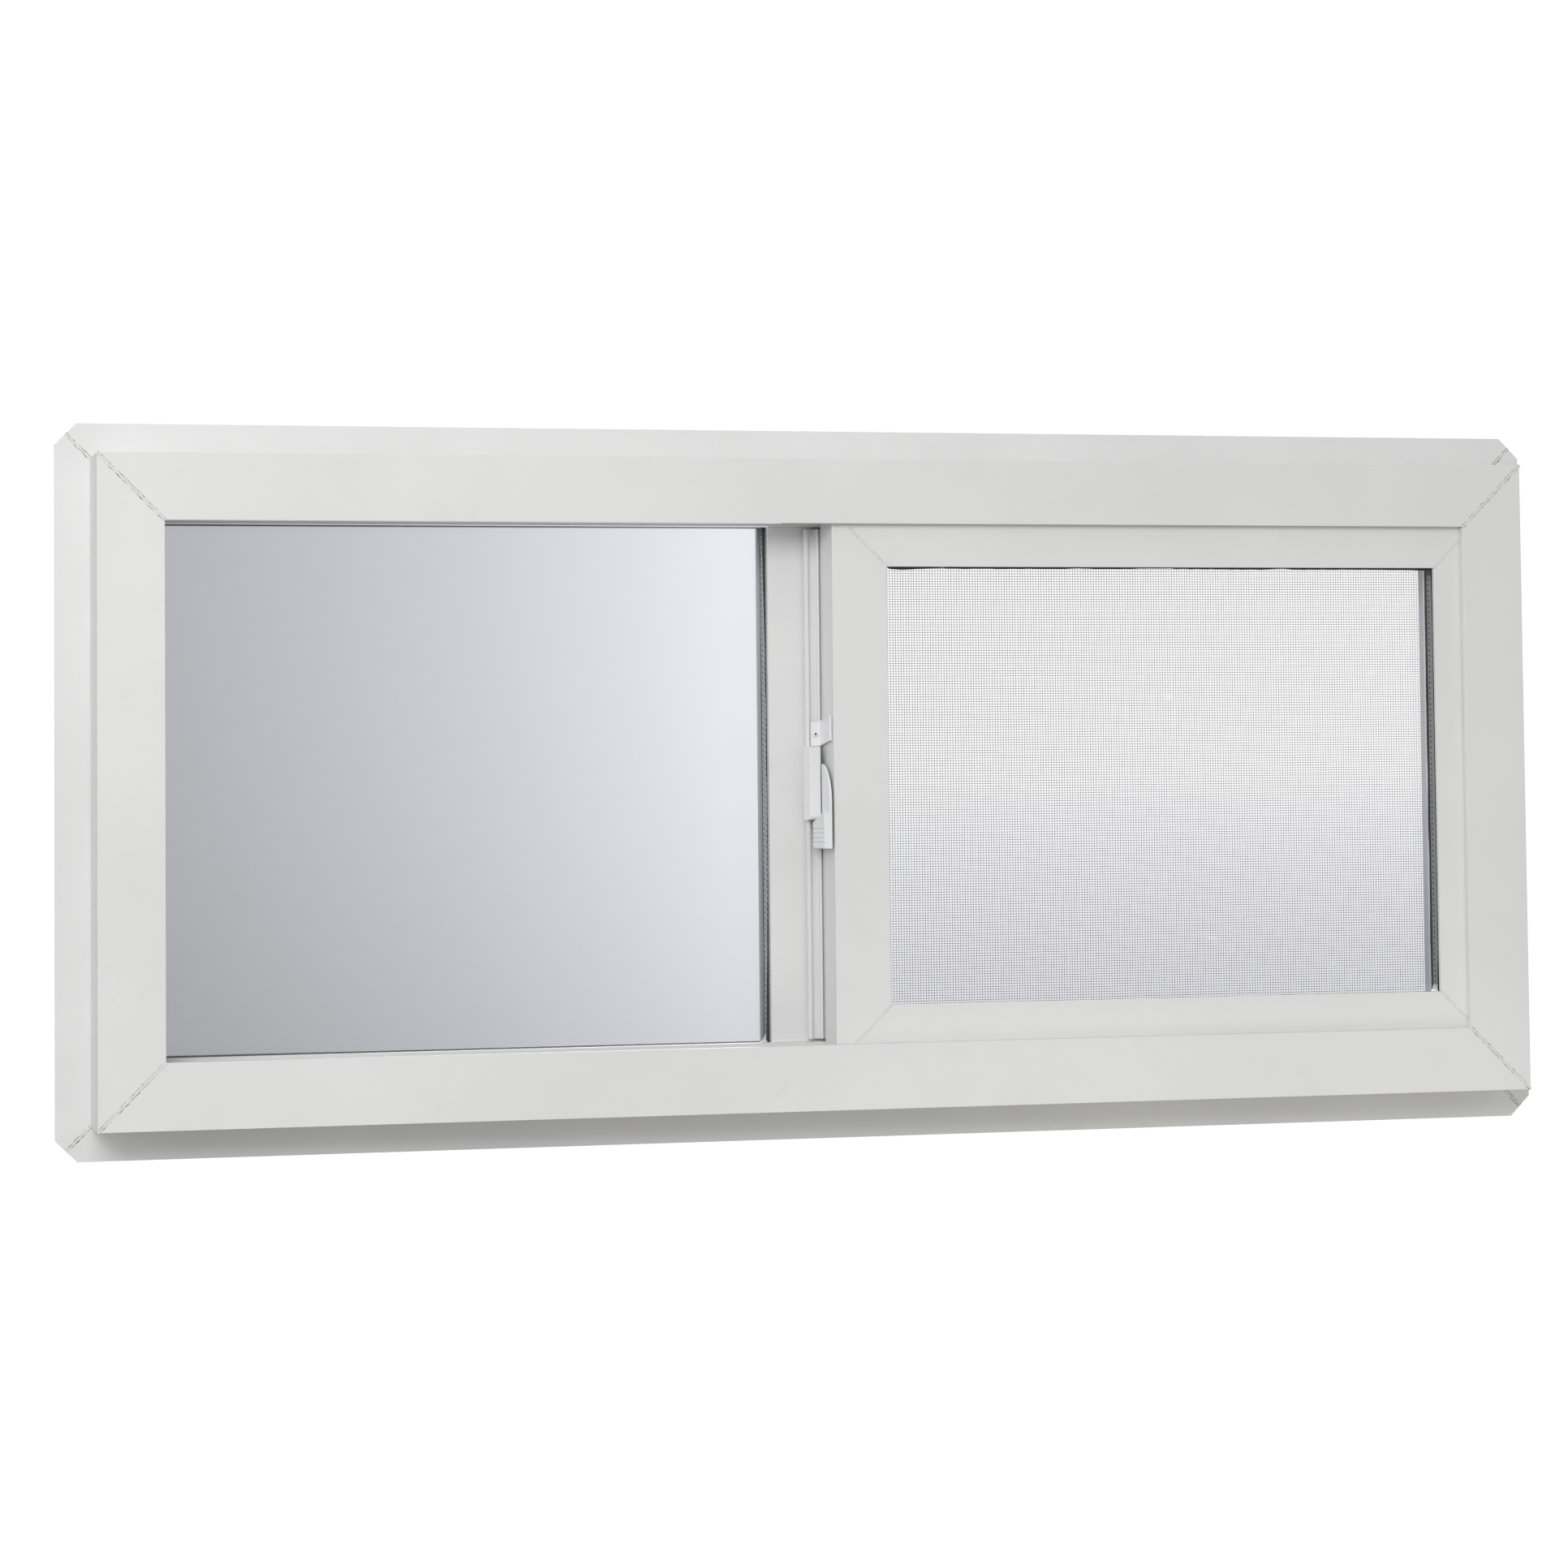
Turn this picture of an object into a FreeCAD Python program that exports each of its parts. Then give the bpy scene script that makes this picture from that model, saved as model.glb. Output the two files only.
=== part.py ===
import FreeCAD, Part
import os
import re
import Sketcher
from FreeCAD import Vector

# Sliding basement window of white extruded vinyl. X runs along the width, Y from
# the room to the outdoors and Z up. The origin lies on the bearing face of the
# sill flange, at its middle. All sizes are in millimetres.

# Driving sizes, one cell each. "Behind" means measured from the frame's front
# face towards the outdoors, and "in" means measured from the frame's outer edge
# towards the middle of the window.
SIZES = [
    ("body_width", 806.45, "frame body, without the flange"),
    ("body_height", 355.6, "frame body, without the flange"),
    ("wall", 2.0, "wall of the frame and sash extrusions"),
    ("face_width", 35.5, "front face of each frame member, in"),
    ("lip_gap", 0.5, "hooked edge of the front face to the sash"),
    ("flange_setback", 44.0, "front face to the flange's bearing face"),
    ("flange_reach", 18.7, "flange beyond the frame body"),
    ("flange_thick", 2.0, "flange"),
    ("flange_clip", 11.5, "clipped corner of the flange, along each side"),
    ("pocket_clearance", 4.3, "right edge of the sash to the pocket's floor"),
    ("track_width", 3.0, "sash track rib"),
    ("glide_lift", 1.0, "track to the sash's bottom edge"),
    ("running_gap", 1.0, "back of the sash to the divider"),
    ("divider_depth", 7.0, "wall between sash pocket and glass rebate"),
    ("rebate_depth", 11.5, "glass rebate, from the face's inner edge"),
    ("outdoor_reveal", 3.85, "outdoor edge of the frame beyond the beads"),
    ("bead_depth", 11.4, "outdoor glazing bead, front to back"),
    ("bead_height", 11.3, "outdoor glazing bead above the rebate floor"),
    ("bead_nose", 3.4, "flat top of the outdoor glazing bead"),
    ("bead_toe", 4.0, "outdoor face of the glazing bead"),
    ("bead_wall", 1.2, "wall of the glazing beads"),
    ("foot_offset", 2.5, "front of a bead to its foot's groove"),
    ("foot_width", 3.0, "groove for the foot of a bead"),
    ("foot_depth", 4.0, "groove for the foot of a bead"),
    ("unit_thick", 16.0, "insulated glass unit"),
    ("glass_thick", 2.4, "each pane"),
    ("spacer_height", 6.5, "spacer bar, edge side to cavity side"),
    ("seal_height", 2.0, "edge seal outside the spacer bar"),
    ("unit_clearance", 1.5, "edge of the fixed unit to the rebate floor"),
    ("fit_gap", 0.3, "gap where loose pieces seat"),
    ("stile_left", -32.4, "sight edge of the fixed meeting stile, from the middle"),
    ("stile_lip", 10.1, "overlap of the meeting stile on the fixed unit's rebate"),
    ("meeting_gap", 1.3, "interlock flange of the sash to the fixed meeting stile"),
    ("stile_web", 23.5, "fixed unit's rebate to screen rebate"),
    ("stile_stop", 10.0, "stop for the screen beyond its rebate"),
    ("stile_tail", 0.85, "back of the meeting stile beyond the beads"),
    ("interlock_place", 4.0, "interlock fin on the meeting stile, from the middle"),
    ("interlock_gap", 0.8, "interlock fin to the sash"),
    ("sash_left", -3.4, "left edge of the sash, from the middle"),
    ("sash_in_jamb", 15.2, "sash behind the right jamb's face"),
    ("sash_in_head", 7.9, "sash behind the head's face"),
    ("sash_in_sill", 10.5, "sash behind the sill's face"),
    ("sash_setback", 5.0, "face of the sash, behind"),
    ("sash_depth", 25.0, "sash, front to back"),
    ("sash_face", 31.3, "width of the sash members"),
    ("sash_lip", 3.0, "lip of the sash in front of its glass"),
    ("sash_bite", 10.8, "overlap of the sash on its glass"),
    ("sash_clearance", 2.0, "edge of the sash's unit to its rebate"),
    ("sash_bead_drop", 3.0, "sight edge of the sash bead below that of the sash"),
    ("sash_bead_edge", 1.5, "chamfer of the sash bead"),
    ("groove_width", 8.0, "groove round the sash for track and glides"),
    ("groove_clearance", 3.5, "groove round the sash, beyond the track"),
    ("hook_reach", 9.0, "interlock flange of the sash, beyond its left edge"),
    ("hook_root", 6.0, "interlock flange, behind the sash stile"),
    ("hook_thick", 1.2, "interlock flange"),
    ("hook_rise", 2.5, "ridges of the interlock flange"),
    ("hook_ridge", 2.0, "width of the flange's end ridge"),
    ("inner_ridge", 0.9, "inner ridge of the flange, from the sash's side"),
    ("inner_ridge_width", 1.4, "inner ridge of the flange"),
    ("hook_clearance", 1.5, "interlock flange above the frame's lips"),
    ("glide_length", 40.0, "each sash glide"),
    ("glide_inset", 60.0, "end of the sash to its glide"),
    ("glide_skirt", 3.0, "glide's legs beside the track"),
    ("weep_inset", 90.0, "end of the sill to the middle of its weep slot"),
    ("weep_length", 22.0, "weep slot in the sill's outdoor side"),
    ("weep_height", 5.0, "weep slot in the sill's outdoor side"),
    ("weep_lift", 6.0, "bottom of the sill to its weep slots"),
    ("pile_height", 3.9, "pile weather strip behind the lips"),
    ("meeting_pile_place", 4.0, "pile strip on the meeting stile, from the sash's left edge"),
    ("meeting_pile_width", 5.0, "pile strip on the meeting stile"),
    ("screen_margin", 0.5, "screen frame to its rebate"),
    ("screen_bar", 16.0, "screen frame bar, width"),
    ("screen_thick", 8.0, "screen frame bar, front to back"),
    ("screen_wall", 0.8, "wall of the screen frame bars"),
    ("spline_place", 9.0, "spline groove, from the screen's edge"),
    ("spline_width", 3.5, "spline groove"),
    ("spline_depth", 4.0, "spline groove"),
    ("mesh_thick", 0.3, "insect mesh"),
    ("latch_height", 0.0, "middle of the latch, from the middle of the window"),
    ("latch_gap", 0.3, "latch pieces to the sash"),
    ("bracket_sheet", 1.5, "thickness of the latch bracket"),
    ("bracket_set", 3.0, "front of the latch bracket behind the sash's face"),
    ("bracket_leg", 6.5, "screwed leg of the bracket, from the sash's side"),
    ("bracket_top", 37.0, "top of the bracket above the latch's middle"),
    ("bracket_drop", 13.5, "bracket, top to bottom"),
    ("bracket_slope", 3.0, "fall of the bracket's edges towards the back"),
    ("bracket_bend", 1.2, "radius inside the bracket's bend"),
    ("bracket_screw", 1.2, "radius of the bracket's screw hole"),
    ("housing_set", 16.0, "front of the latch housing behind the sash's face"),
    ("housing_width", 7.3, "latch housing, at its back"),
    ("housing_draft", 1.1, "outer side of the housing, narrower at the front"),
    ("housing_offset", 3.4, "latch housing to the sash's side"),
    ("housing_drop", 20.0, "bottom of the housing below the latch's middle"),
    ("housing_edge", 0.6, "chamfer of the housing's front corner"),
    ("housing_round", 2.5, "radius of the housing's lower front corner"),
    ("lever_sheet", 1.4, "thickness of the lever's arm"),
    ("lever_offset", 1.8, "lever's arm to the sash's side"),
    ("lever_stand", 2.0, "front of the lever before the sash's face"),
    ("lever_depth", 17.0, "lever's arm, front to back"),
    ("lever_tip", 10.6, "top of the lever above the latch's middle"),
    ("lever_point", 1.4, "flat end of the lever above its curved edge"),
    ("lever_shoulder", 10.0, "lever's straight front edge below the latch's middle"),
    ("pad_top", 21.4, "back of the thumb pad's top below the latch's middle"),
    ("pad_rise", 5.4, "rise of the thumb pad's top towards the front"),
    ("pad_height", 14.2, "thumb pad, top to bottom"),
    ("pad_width", 4.8, "thumb pad, side to side"),
    ("pad_depth", 24.0, "thumb pad, front to back"),
    ("pad_crest", 4.0, "front of the lever to the crest of the pad's top"),
    ("pad_round", 3.5, "radius of the pad's lower back corner"),
    ("grip_first", 3.2, "first grip groove below the pad's top"),
    ("grip_pitch", 2.5, "spacing of the grip grooves"),
    ("grip_width", 0.8, "grip groove"),
    ("grip_depth", 0.5, "grip groove"),
]

# Places worked out from the driving sizes, in the same words.
PLACES = {
    "outer_edge": "0",
    "front_face": "0",
    "middle_height": "flange_reach/2 + body_height/2",
    "body_bottom": "flange_reach/2",
    "body_top": "flange_reach/2 + body_height",
    "body_left": "-body_width/2",
    "body_right": "body_width/2",
    "flange_back": "flange_setback + flange_thick",
    "sash_top": "face_width - sash_in_head",
    "sash_bottom": "face_width - sash_in_sill",
    "sash_right": "face_width - sash_in_jamb",
    "pocket_floor": "sash_right - pocket_clearance",
    "track_top": "sash_bottom - glide_lift",
    "groove_depth": "track_top - sash_right + groove_clearance",
    "lip_depth": "sash_setback - lip_gap",
    "track_centre": "sash_setback + sash_depth/2",
    "divider_front": "sash_back + running_gap",
    "rebate_floor": "face_width - rebate_depth",
    "frame_depth": "bead_back + outdoor_reveal",
    "stile_setback": "hook_back + meeting_gap",
    "track_front": "track_centre - track_width/2",
    "track_back": "track_centre + track_width/2",
    "divider_back": "divider_front + divider_depth",
    "web_front": "track_centre - wall/2",
    "web_back": "track_centre + wall/2",
    "unit_front": "divider_back + fit_gap",
    "unit_back": "unit_front + unit_thick",
    "bead_front": "unit_back + fit_gap",
    "bead_back": "bead_front + bead_depth",
    "foot_front": "bead_front + foot_offset",
    "foot_back": "foot_front + foot_width",
    "foot_floor": "rebate_floor - foot_depth",
    "foot_under": "foot_floor - wall",
    "rear_web_front": "foot_front + foot_width/2 - wall/2",
    "rear_web_back": "foot_front + foot_width/2 + wall/2",
    "lite_left": "body_left + rebate_floor",
    "lite_right": "stile_left + stile_lip",
    "lite_bottom": "body_bottom + rebate_floor",
    "lite_top": "body_top - rebate_floor",
    "screen_left": "lite_right + stile_web",
    "screen_right": "body_right - rebate_floor",
    "stile_end": "screen_left + stile_stop",
    "stile_back": "bead_back + stile_tail",
    "screen_back": "unit_back",
    "screen_front": "screen_back - screen_thick",
    "sash_edge_right": "body_right - sash_right",
    "sash_edge_top": "body_top - sash_top",
    "sash_edge_bottom": "body_bottom + sash_bottom",
    "sash_back": "sash_setback + sash_depth",
    "sash_rebate": "sash_face - sash_bite - sash_clearance",
    "sash_seat": "sash_setback + sash_lip",
    "sash_unit_front": "sash_seat + fit_gap",
    "sash_unit_back": "sash_unit_front + unit_thick",
    "sash_bead_front": "sash_unit_back + fit_gap",
    "sash_bead_top": "sash_face - sash_bead_drop",
    "groove_front": "track_centre - groove_width/2",
    "groove_back": "track_centre + groove_width/2",
    "hook_front": "sash_back + hook_rise",
    "hook_back": "hook_front + hook_thick",
    "latch_middle": "middle_height + latch_height",
    "housing_right": "sash_left - housing_offset",
    "housing_left": "housing_right - housing_width",
    "lever_right": "sash_left - lever_offset",
    "lever_left": "lever_right - lever_sheet",
    "pad_left": "lever_right - pad_width",
    "pad_top_height": "latch_middle - pad_top",
    "bracket_right": "sash_left - latch_gap",
    "bracket_side": "bracket_right - bracket_sheet",
    "bracket_back": "sash_back",
    "bracket_front": "sash_setback + bracket_set",
    "housing_front": "sash_setback + housing_set",
    "lever_front": "sash_setback - lever_stand",
    "lever_back": "lever_front + lever_depth",
    "pad_back": "lever_front + pad_depth",
}

SIZE_NAMES = {name for name, value, meaning in SIZES}


def tied(text):
    """A formula in size and place names, as an expression on the sheet's cells."""
    def word(match):
        name = match.group(0)
        if name in SIZE_NAMES:
            return "Sizes." + name
        return "(" + tied(PLACES[name]) + ")"
    return re.sub(r"[a-z_]+", word, text)


def make_sheet(document):
    sheet = document.addObject("Spreadsheet::Sheet", "Sizes")
    for row, (name, value, meaning) in enumerate(SIZES, start=1):
        sheet.set(f"A{row}", name)
        sheet.set(f"B{row}", str(value))
        sheet.setAlias(f"B{row}", name)
        sheet.set(f"C{row}", meaning)
    document.recompute()
    return sheet


def new_body(label):
    body = doc.addObject("PartDesign::Body", label)
    body.Label = label
    return body


def new_sketch(body, name, plane, offset=None):
    """A sketch on one of the body's origin planes, moved along its normal."""
    sketch = body.newObject("Sketcher::SketchObject", f"{body.Name}_{name}")
    origin_plane = [f for f in body.Origin.OriginFeatures if f.Role == plane][0]
    sketch.AttachmentSupport = [(origin_plane, "")]
    sketch.MapMode = "FlatFace"
    if offset is not None:
        sketch.setExpression("AttachmentOffset.Base.z", tied(offset))
    return sketch


def locate(sketch, kind, corner, formula):
    place = sketch.evalExpression(tied(formula))
    index = sketch.addConstraint(Sketcher.Constraint(kind, -1, 1, corner, 1, place))
    sketch.setExpression(f"Constraints[{index}]", tied(formula))


def draw_loop(sketch, corners, arcs=()):
    """A closed outline, drawn in place and then tied to the sizes. Each corner is a
    pair of formulas, across and up. Against the clock, the edges numbered in arcs
    swing outwards and run on smoothly into the edge that follows them."""
    first = sketch.GeometryCount
    count = len(corners)
    places = [Vector(*[sketch.evalExpression(tied(formula)) for formula in corner]) for corner in corners]
    for i in range(count):
        start, end = places[i], places[(i + 1) % count]
        if i in arcs:
            outwards = FreeCAD.Rotation(Vector(0, 0, 1), -90).multVec(end - start)
            sketch.addGeometry(Part.Arc(start, (start + end)/2 + outwards/3, end))
        else:
            sketch.addGeometry(Part.LineSegment(start, end))
    for i in range(count):
        joint = "Tangent" if i in arcs else "Coincident"
        sketch.addConstraint(Sketcher.Constraint(joint, first + i, 2, first + (i + 1) % count, 1))
    for i in range(count):
        across, up = corners[i]
        before_across, before_up = corners[i - 1]
        before = (i - 1) % count
        if across == before_across and before not in arcs:
            sketch.addConstraint(Sketcher.Constraint("Vertical", first + before))
        else:
            locate(sketch, "DistanceX", first + i, across)
        if up == before_up and before not in arcs:
            sketch.addConstraint(Sketcher.Constraint("Horizontal", first + before))
        else:
            locate(sketch, "DistanceY", first + i, up)


def box_loop(left, bottom, right, top):
    return [(left, bottom), (right, bottom), (right, top), (left, top)]


def pad(body, sketch, length):
    feature = body.newObject("PartDesign::Pad", f"{body.Name}_pad")
    feature.Profile = sketch
    feature.setExpression("Length", tied(length))
    return feature


def pocket_through(body, sketch, name):
    feature = body.newObject("PartDesign::Pocket", f"{body.Name}_{name}")
    feature.Profile = sketch
    feature.Type = "ThroughAll"
    feature.SideType = "Symmetric"
    return feature


def round_edges(body, base, radius, chosen):
    """Rounds those edges of the computed feature whose bounds pass the test."""
    feature = body.newObject("PartDesign::Fillet", f"{body.Name}_round")
    feature.Base = (base, [f"Edge{i + 1}" for i, edge in enumerate(base.Shape.Edges) if chosen(edge.BoundBox)])
    feature.setExpression("Radius", tied(radius))
    return feature


# A ring is a rectangular opening or panel, given by its four sides. Its four
# members share one section, drawn as depth behind the front face and distance
# in from the ring's side, and meet in mitred corners.
def ring(left, bottom, right, top, reach="outer_edge", inward="face_width", clip=None):
    return {"left": left, "bottom": bottom, "right": right, "top": top,
            "reach": reach, "inward": inward, "clip": clip}


FRAME = ring("body_left", "body_bottom", "body_right", "body_top", "flange_reach", "face_width", "flange_clip")
LITE = ring("lite_left", "lite_bottom", "lite_right", "lite_top", "foot_depth", "bead_height")
SASH = ring("sash_left", "sash_edge_bottom", "sash_edge_right", "sash_edge_top", "hook_reach", "sash_face")
SCREEN_REBATE = ring("screen_left", "lite_bottom", "screen_right", "lite_top", "foot_depth", "bead_height")
SCREEN = ring("screen_left + screen_margin", "lite_bottom + screen_margin", "screen_right - screen_margin",
              "lite_top - screen_margin", "outer_edge", "screen_bar")


def section_on(sides, side, section):
    """Section corners as sketch formulas for the member on this side of the ring."""
    corners = []
    for depth, inset in section:
        y = f"({depth}) - flange_setback"
        if side == "top":
            corners.append((y, f"({sides['top']}) - ({inset})"))
        elif side == "bottom":
            corners.append((y, f"({sides['bottom']}) + ({inset})"))
        elif side == "left":
            corners.append((f"({sides['left']}) + ({inset})", y))
        else:
            corners.append((f"({sides['right']}) - ({inset})", y))
    return corners


def mitre_loops(sides, side):
    """The two corner pieces to cut off a member, one at each end."""
    along = ("left", "right") if side in ("top", "bottom") else ("bottom", "top")
    reach = sides["reach"]
    inward = sides["inward"]
    outward = {"left": "-", "bottom": "-", "right": "+", "top": "+"}
    inside = {"left": "+", "bottom": "+", "right": "-", "top": "-"}
    loops = []
    for end in along:
        end_out = f"({sides[end]}) {outward[end]} ({reach})"
        end_in = f"({sides[end]}) {inside[end]} ({inward})"
        side_out = f"({sides[side]}) {outward[side]} ({reach})"
        side_in = f"({sides[side]}) {inside[side]} ({inward})"
        if sides["clip"]:
            clip = sides["clip"]
            corners = [(f"{end_out} {inside[end]} ({clip})", side_out),
                       (f"{end_out} {inside[end]} ({clip})/2", f"{side_out} {inside[side]} ({clip})/2"),
                       (end_in, side_in), (end_out, side_in), (end_out, side_out)]
        else:
            corners = [(end_out, side_out), (end_in, side_in), (end_out, side_in)]
        if side in ("left", "right"):
            corners = [(up, across) for across, up in corners]
        loops.append(corners)
    return loops


def ring_member(label, sides, side, section, chambers=()):
    """One mitred member: the section run along its side, then both ends cut."""
    body = new_body(label)
    if side in ("top", "bottom"):
        plane, low, high = "YZ_Plane", sides["left"], sides["right"]
    else:
        plane, low, high = "XY_Plane", sides["bottom"], sides["top"]
    reach = sides["reach"]
    profile = new_sketch(body, "section", plane, f"({low}) - ({reach})")
    draw_loop(profile, section_on(sides, side, section))
    for chamber in chambers:
        draw_loop(profile, section_on(sides, side, chamber))
    pad(body, profile, f"({high}) - ({low}) + 2*({reach})")
    mitre = new_sketch(body, "mitre", "XZ_Plane")
    for corners in mitre_loops(sides, side):
        draw_loop(mitre, corners)
    pocket_through(body, mitre, "mitre_cut")
    return body


def panel(label, sides, front, back, inset="outer_edge", hole=None):
    """A flat sheet inside a ring, or a closed band where a hole is given."""
    body = new_body(label)
    sketch = new_sketch(body, "outline", "XZ_Plane", f"flange_setback - ({back})")
    draw_loop(sketch, box_loop(*inset_sides(sides, inset)))
    if hole is not None:
        draw_loop(sketch, box_loop(*inset_sides(sides, hole)))
    pad(body, sketch, f"({back}) - ({front})")
    return body


def inset_sides(sides, inset):
    return (f"({sides['left']}) + ({inset})", f"({sides['bottom']}) + ({inset})",
            f"({sides['right']}) - ({inset})", f"({sides['top']}) - ({inset})")


def cuboid(body, name, left, right, front, back, bottom, top):
    """A block padded from its outline as seen from the room."""
    sketch = new_sketch(body, name, "XZ_Plane", f"flange_setback - ({back})")
    draw_loop(sketch, box_loop(left, bottom, right, top))
    return pad(body, sketch, f"({back}) - ({front})")


# Frame: four lengths of one extrusion with the front lip, the sash pocket with
# its track, the glass rebate with a groove for the beads, and the flange.
def frame_members():
    section = [
        ("front_face", "outer_edge"), ("front_face", "face_width"), ("lip_depth", "face_width"),
        ("lip_depth", "face_width - wall"), ("wall", "face_width - wall"), ("wall", "pocket_floor"),
        ("track_front", "pocket_floor"), ("track_front", "track_top"),
        ("track_back", "track_top"), ("track_back", "pocket_floor"),
        ("divider_front", "pocket_floor"), ("divider_front", "face_width"),
        ("divider_back", "face_width"), ("divider_back", "rebate_floor"),
        ("foot_front", "rebate_floor"), ("foot_front", "foot_floor"),
        ("foot_back", "foot_floor"), ("foot_back", "rebate_floor"),
        ("frame_depth", "rebate_floor"), ("frame_depth", "outer_edge"),
        ("flange_back", "outer_edge"), ("flange_back", "-flange_reach"),
        ("flange_setback", "-flange_reach"), ("flange_setback", "outer_edge"),
    ]
    chambers = [
        box_loop("wall", "wall", "web_front", "pocket_floor - wall"),
        box_loop("web_back", "wall", "divider_front", "pocket_floor - wall"),
        box_loop("divider_front + wall", "wall", "divider_back - wall", "face_width - wall"),
        [("divider_back", "wall"), ("rear_web_front", "wall"), ("rear_web_front", "foot_under"),
         ("foot_front - wall", "foot_under"), ("foot_front - wall", "rebate_floor - wall"),
         ("divider_back", "rebate_floor - wall")],
        [("rear_web_back", "wall"), ("frame_depth - wall", "wall"),
         ("frame_depth - wall", "rebate_floor - wall"), ("foot_back + wall", "rebate_floor - wall"),
         ("foot_back + wall", "foot_under"), ("rear_web_back", "foot_under")],
    ]
    for label, side in (("frame_head", "top"), ("frame_jamb_left", "left"), ("frame_jamb_right", "right")):
        ring_member(label, FRAME, side, section, chambers)
    weep_slots(ring_member("frame_sill", FRAME, "bottom", section, chambers))


def weep_slots(sill):
    """Two round-ended slots in the outdoor wall that let the sill drain."""
    sketch = new_sketch(sill, "weep", "XZ_Plane", "flange_setback - frame_depth + wall")
    low = "body_bottom + weep_lift"
    for middle in ("body_left + weep_inset", "body_right - weep_inset"):
        left = f"{middle} - weep_length/2 + weep_height/2"
        right = f"{middle} + weep_length/2 - weep_height/2"
        draw_loop(sketch, box_loop(left, low, right, f"{low} + weep_height"), arcs=(1, 3))
    slots = sill.newObject("PartDesign::Pocket", "frame_sill_weep_cut")
    slots.Profile = sketch
    slots.setExpression("Length", tied("wall"))


# Fixed meeting stile: holds the fixed glass on its left and stops the screen on
# its right. Its ends stand in the rebate and are notched round the divider.
def fixed_meeting_stile():
    body = new_body("fixed_meeting_stile")
    foot_in = "lite_right + foot_depth"
    foot_out = "screen_left - foot_depth"
    profile = [
        ("stile_left", "stile_setback"), ("interlock_place", "stile_setback"),
        ("interlock_place", "sash_back + interlock_gap"),
        ("interlock_place + wall", "sash_back + interlock_gap"),
        ("interlock_place + wall", "stile_setback"), ("stile_end", "stile_setback"),
        ("stile_end", "screen_front - fit_gap"), ("screen_left", "screen_front - fit_gap"),
        ("screen_left", "foot_front"), (foot_out, "foot_front"), (foot_out, "foot_back"),
        ("screen_left", "foot_back"), ("screen_left", "stile_back"), ("lite_right", "stile_back"),
        ("lite_right", "foot_back"), (foot_in, "foot_back"), (foot_in, "foot_front"),
        ("lite_right", "foot_front"), ("lite_right", "divider_back"), ("stile_left", "divider_back"),
    ]
    chambers = [
        box_loop("lite_right + wall", "stile_setback + wall", "stile_end - wall",
                 "screen_front - fit_gap - wall"),
        box_loop("lite_right + wall", "screen_front - fit_gap", "screen_left - wall", "foot_front - wall"),
        box_loop(f"{foot_in} + wall", "foot_front", f"{foot_out} - wall", "stile_back - wall"),
    ]
    sketch = new_sketch(body, "section", "XY_Plane", "lite_bottom")
    for loop in [profile] + chambers:
        draw_loop(sketch, [(across, f"({depth}) - flange_setback") for across, depth in loop])
    pad(body, sketch, "lite_top - lite_bottom")
    notch = new_sketch(body, "notch", "YZ_Plane")
    front = "sash_back - flange_setback"
    back = "divider_back - flange_setback"
    draw_loop(notch, box_loop(front, "lite_bottom", back, "body_bottom + face_width"))
    draw_loop(notch, box_loop(front, "body_top - face_width", back, "lite_top"))
    pocket_through(body, notch, "notch_cut")


# Insulated glass: two panes held apart by a spacer bar, with a seal round the edge.
def insulated_unit(name, sides, front, inset):
    back = f"{front} + unit_thick"
    inner_face = f"{front} + glass_thick"
    outer_face = f"{back} - glass_thick"
    panel(f"{name}_glass_inner", sides, front, inner_face, inset)
    panel(f"{name}_glass_outer", sides, outer_face, back, inset)
    seal_inner = f"{inset} + seal_height"
    panel(f"{name}_edge_seal", sides, inner_face, outer_face, inset, seal_inner)
    panel(f"{name}_spacer", sides, inner_face, outer_face, seal_inner, f"{seal_inner} + spacer_height")


def beads(name, sides):
    """Snap-in beads on the outdoor side: hollow, sloped, with a foot in a groove."""
    section = [
        ("bead_front", "fit_gap"), ("foot_front + fit_gap", "fit_gap"),
        ("foot_front + fit_gap", "fit_gap - foot_depth"), ("foot_back - fit_gap", "fit_gap - foot_depth"),
        ("foot_back - fit_gap", "fit_gap"), ("bead_back", "fit_gap"), ("bead_back", "bead_toe"),
        ("bead_front + bead_nose", "bead_height"), ("bead_front", "bead_height"),
    ]
    chamber = [
        ("bead_front + bead_wall", "fit_gap + bead_wall"), ("bead_back - bead_wall", "fit_gap + bead_wall"),
        ("bead_back - bead_wall", "bead_toe - bead_wall/2"),
        ("bead_front + bead_nose - bead_wall/2", "bead_height - bead_wall"),
        ("bead_front + bead_wall", "bead_height - bead_wall"),
    ]
    for side in ("top", "bottom", "left", "right"):
        ring_member(f"{name}_{side}", sides, side, section, [chamber])


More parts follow.
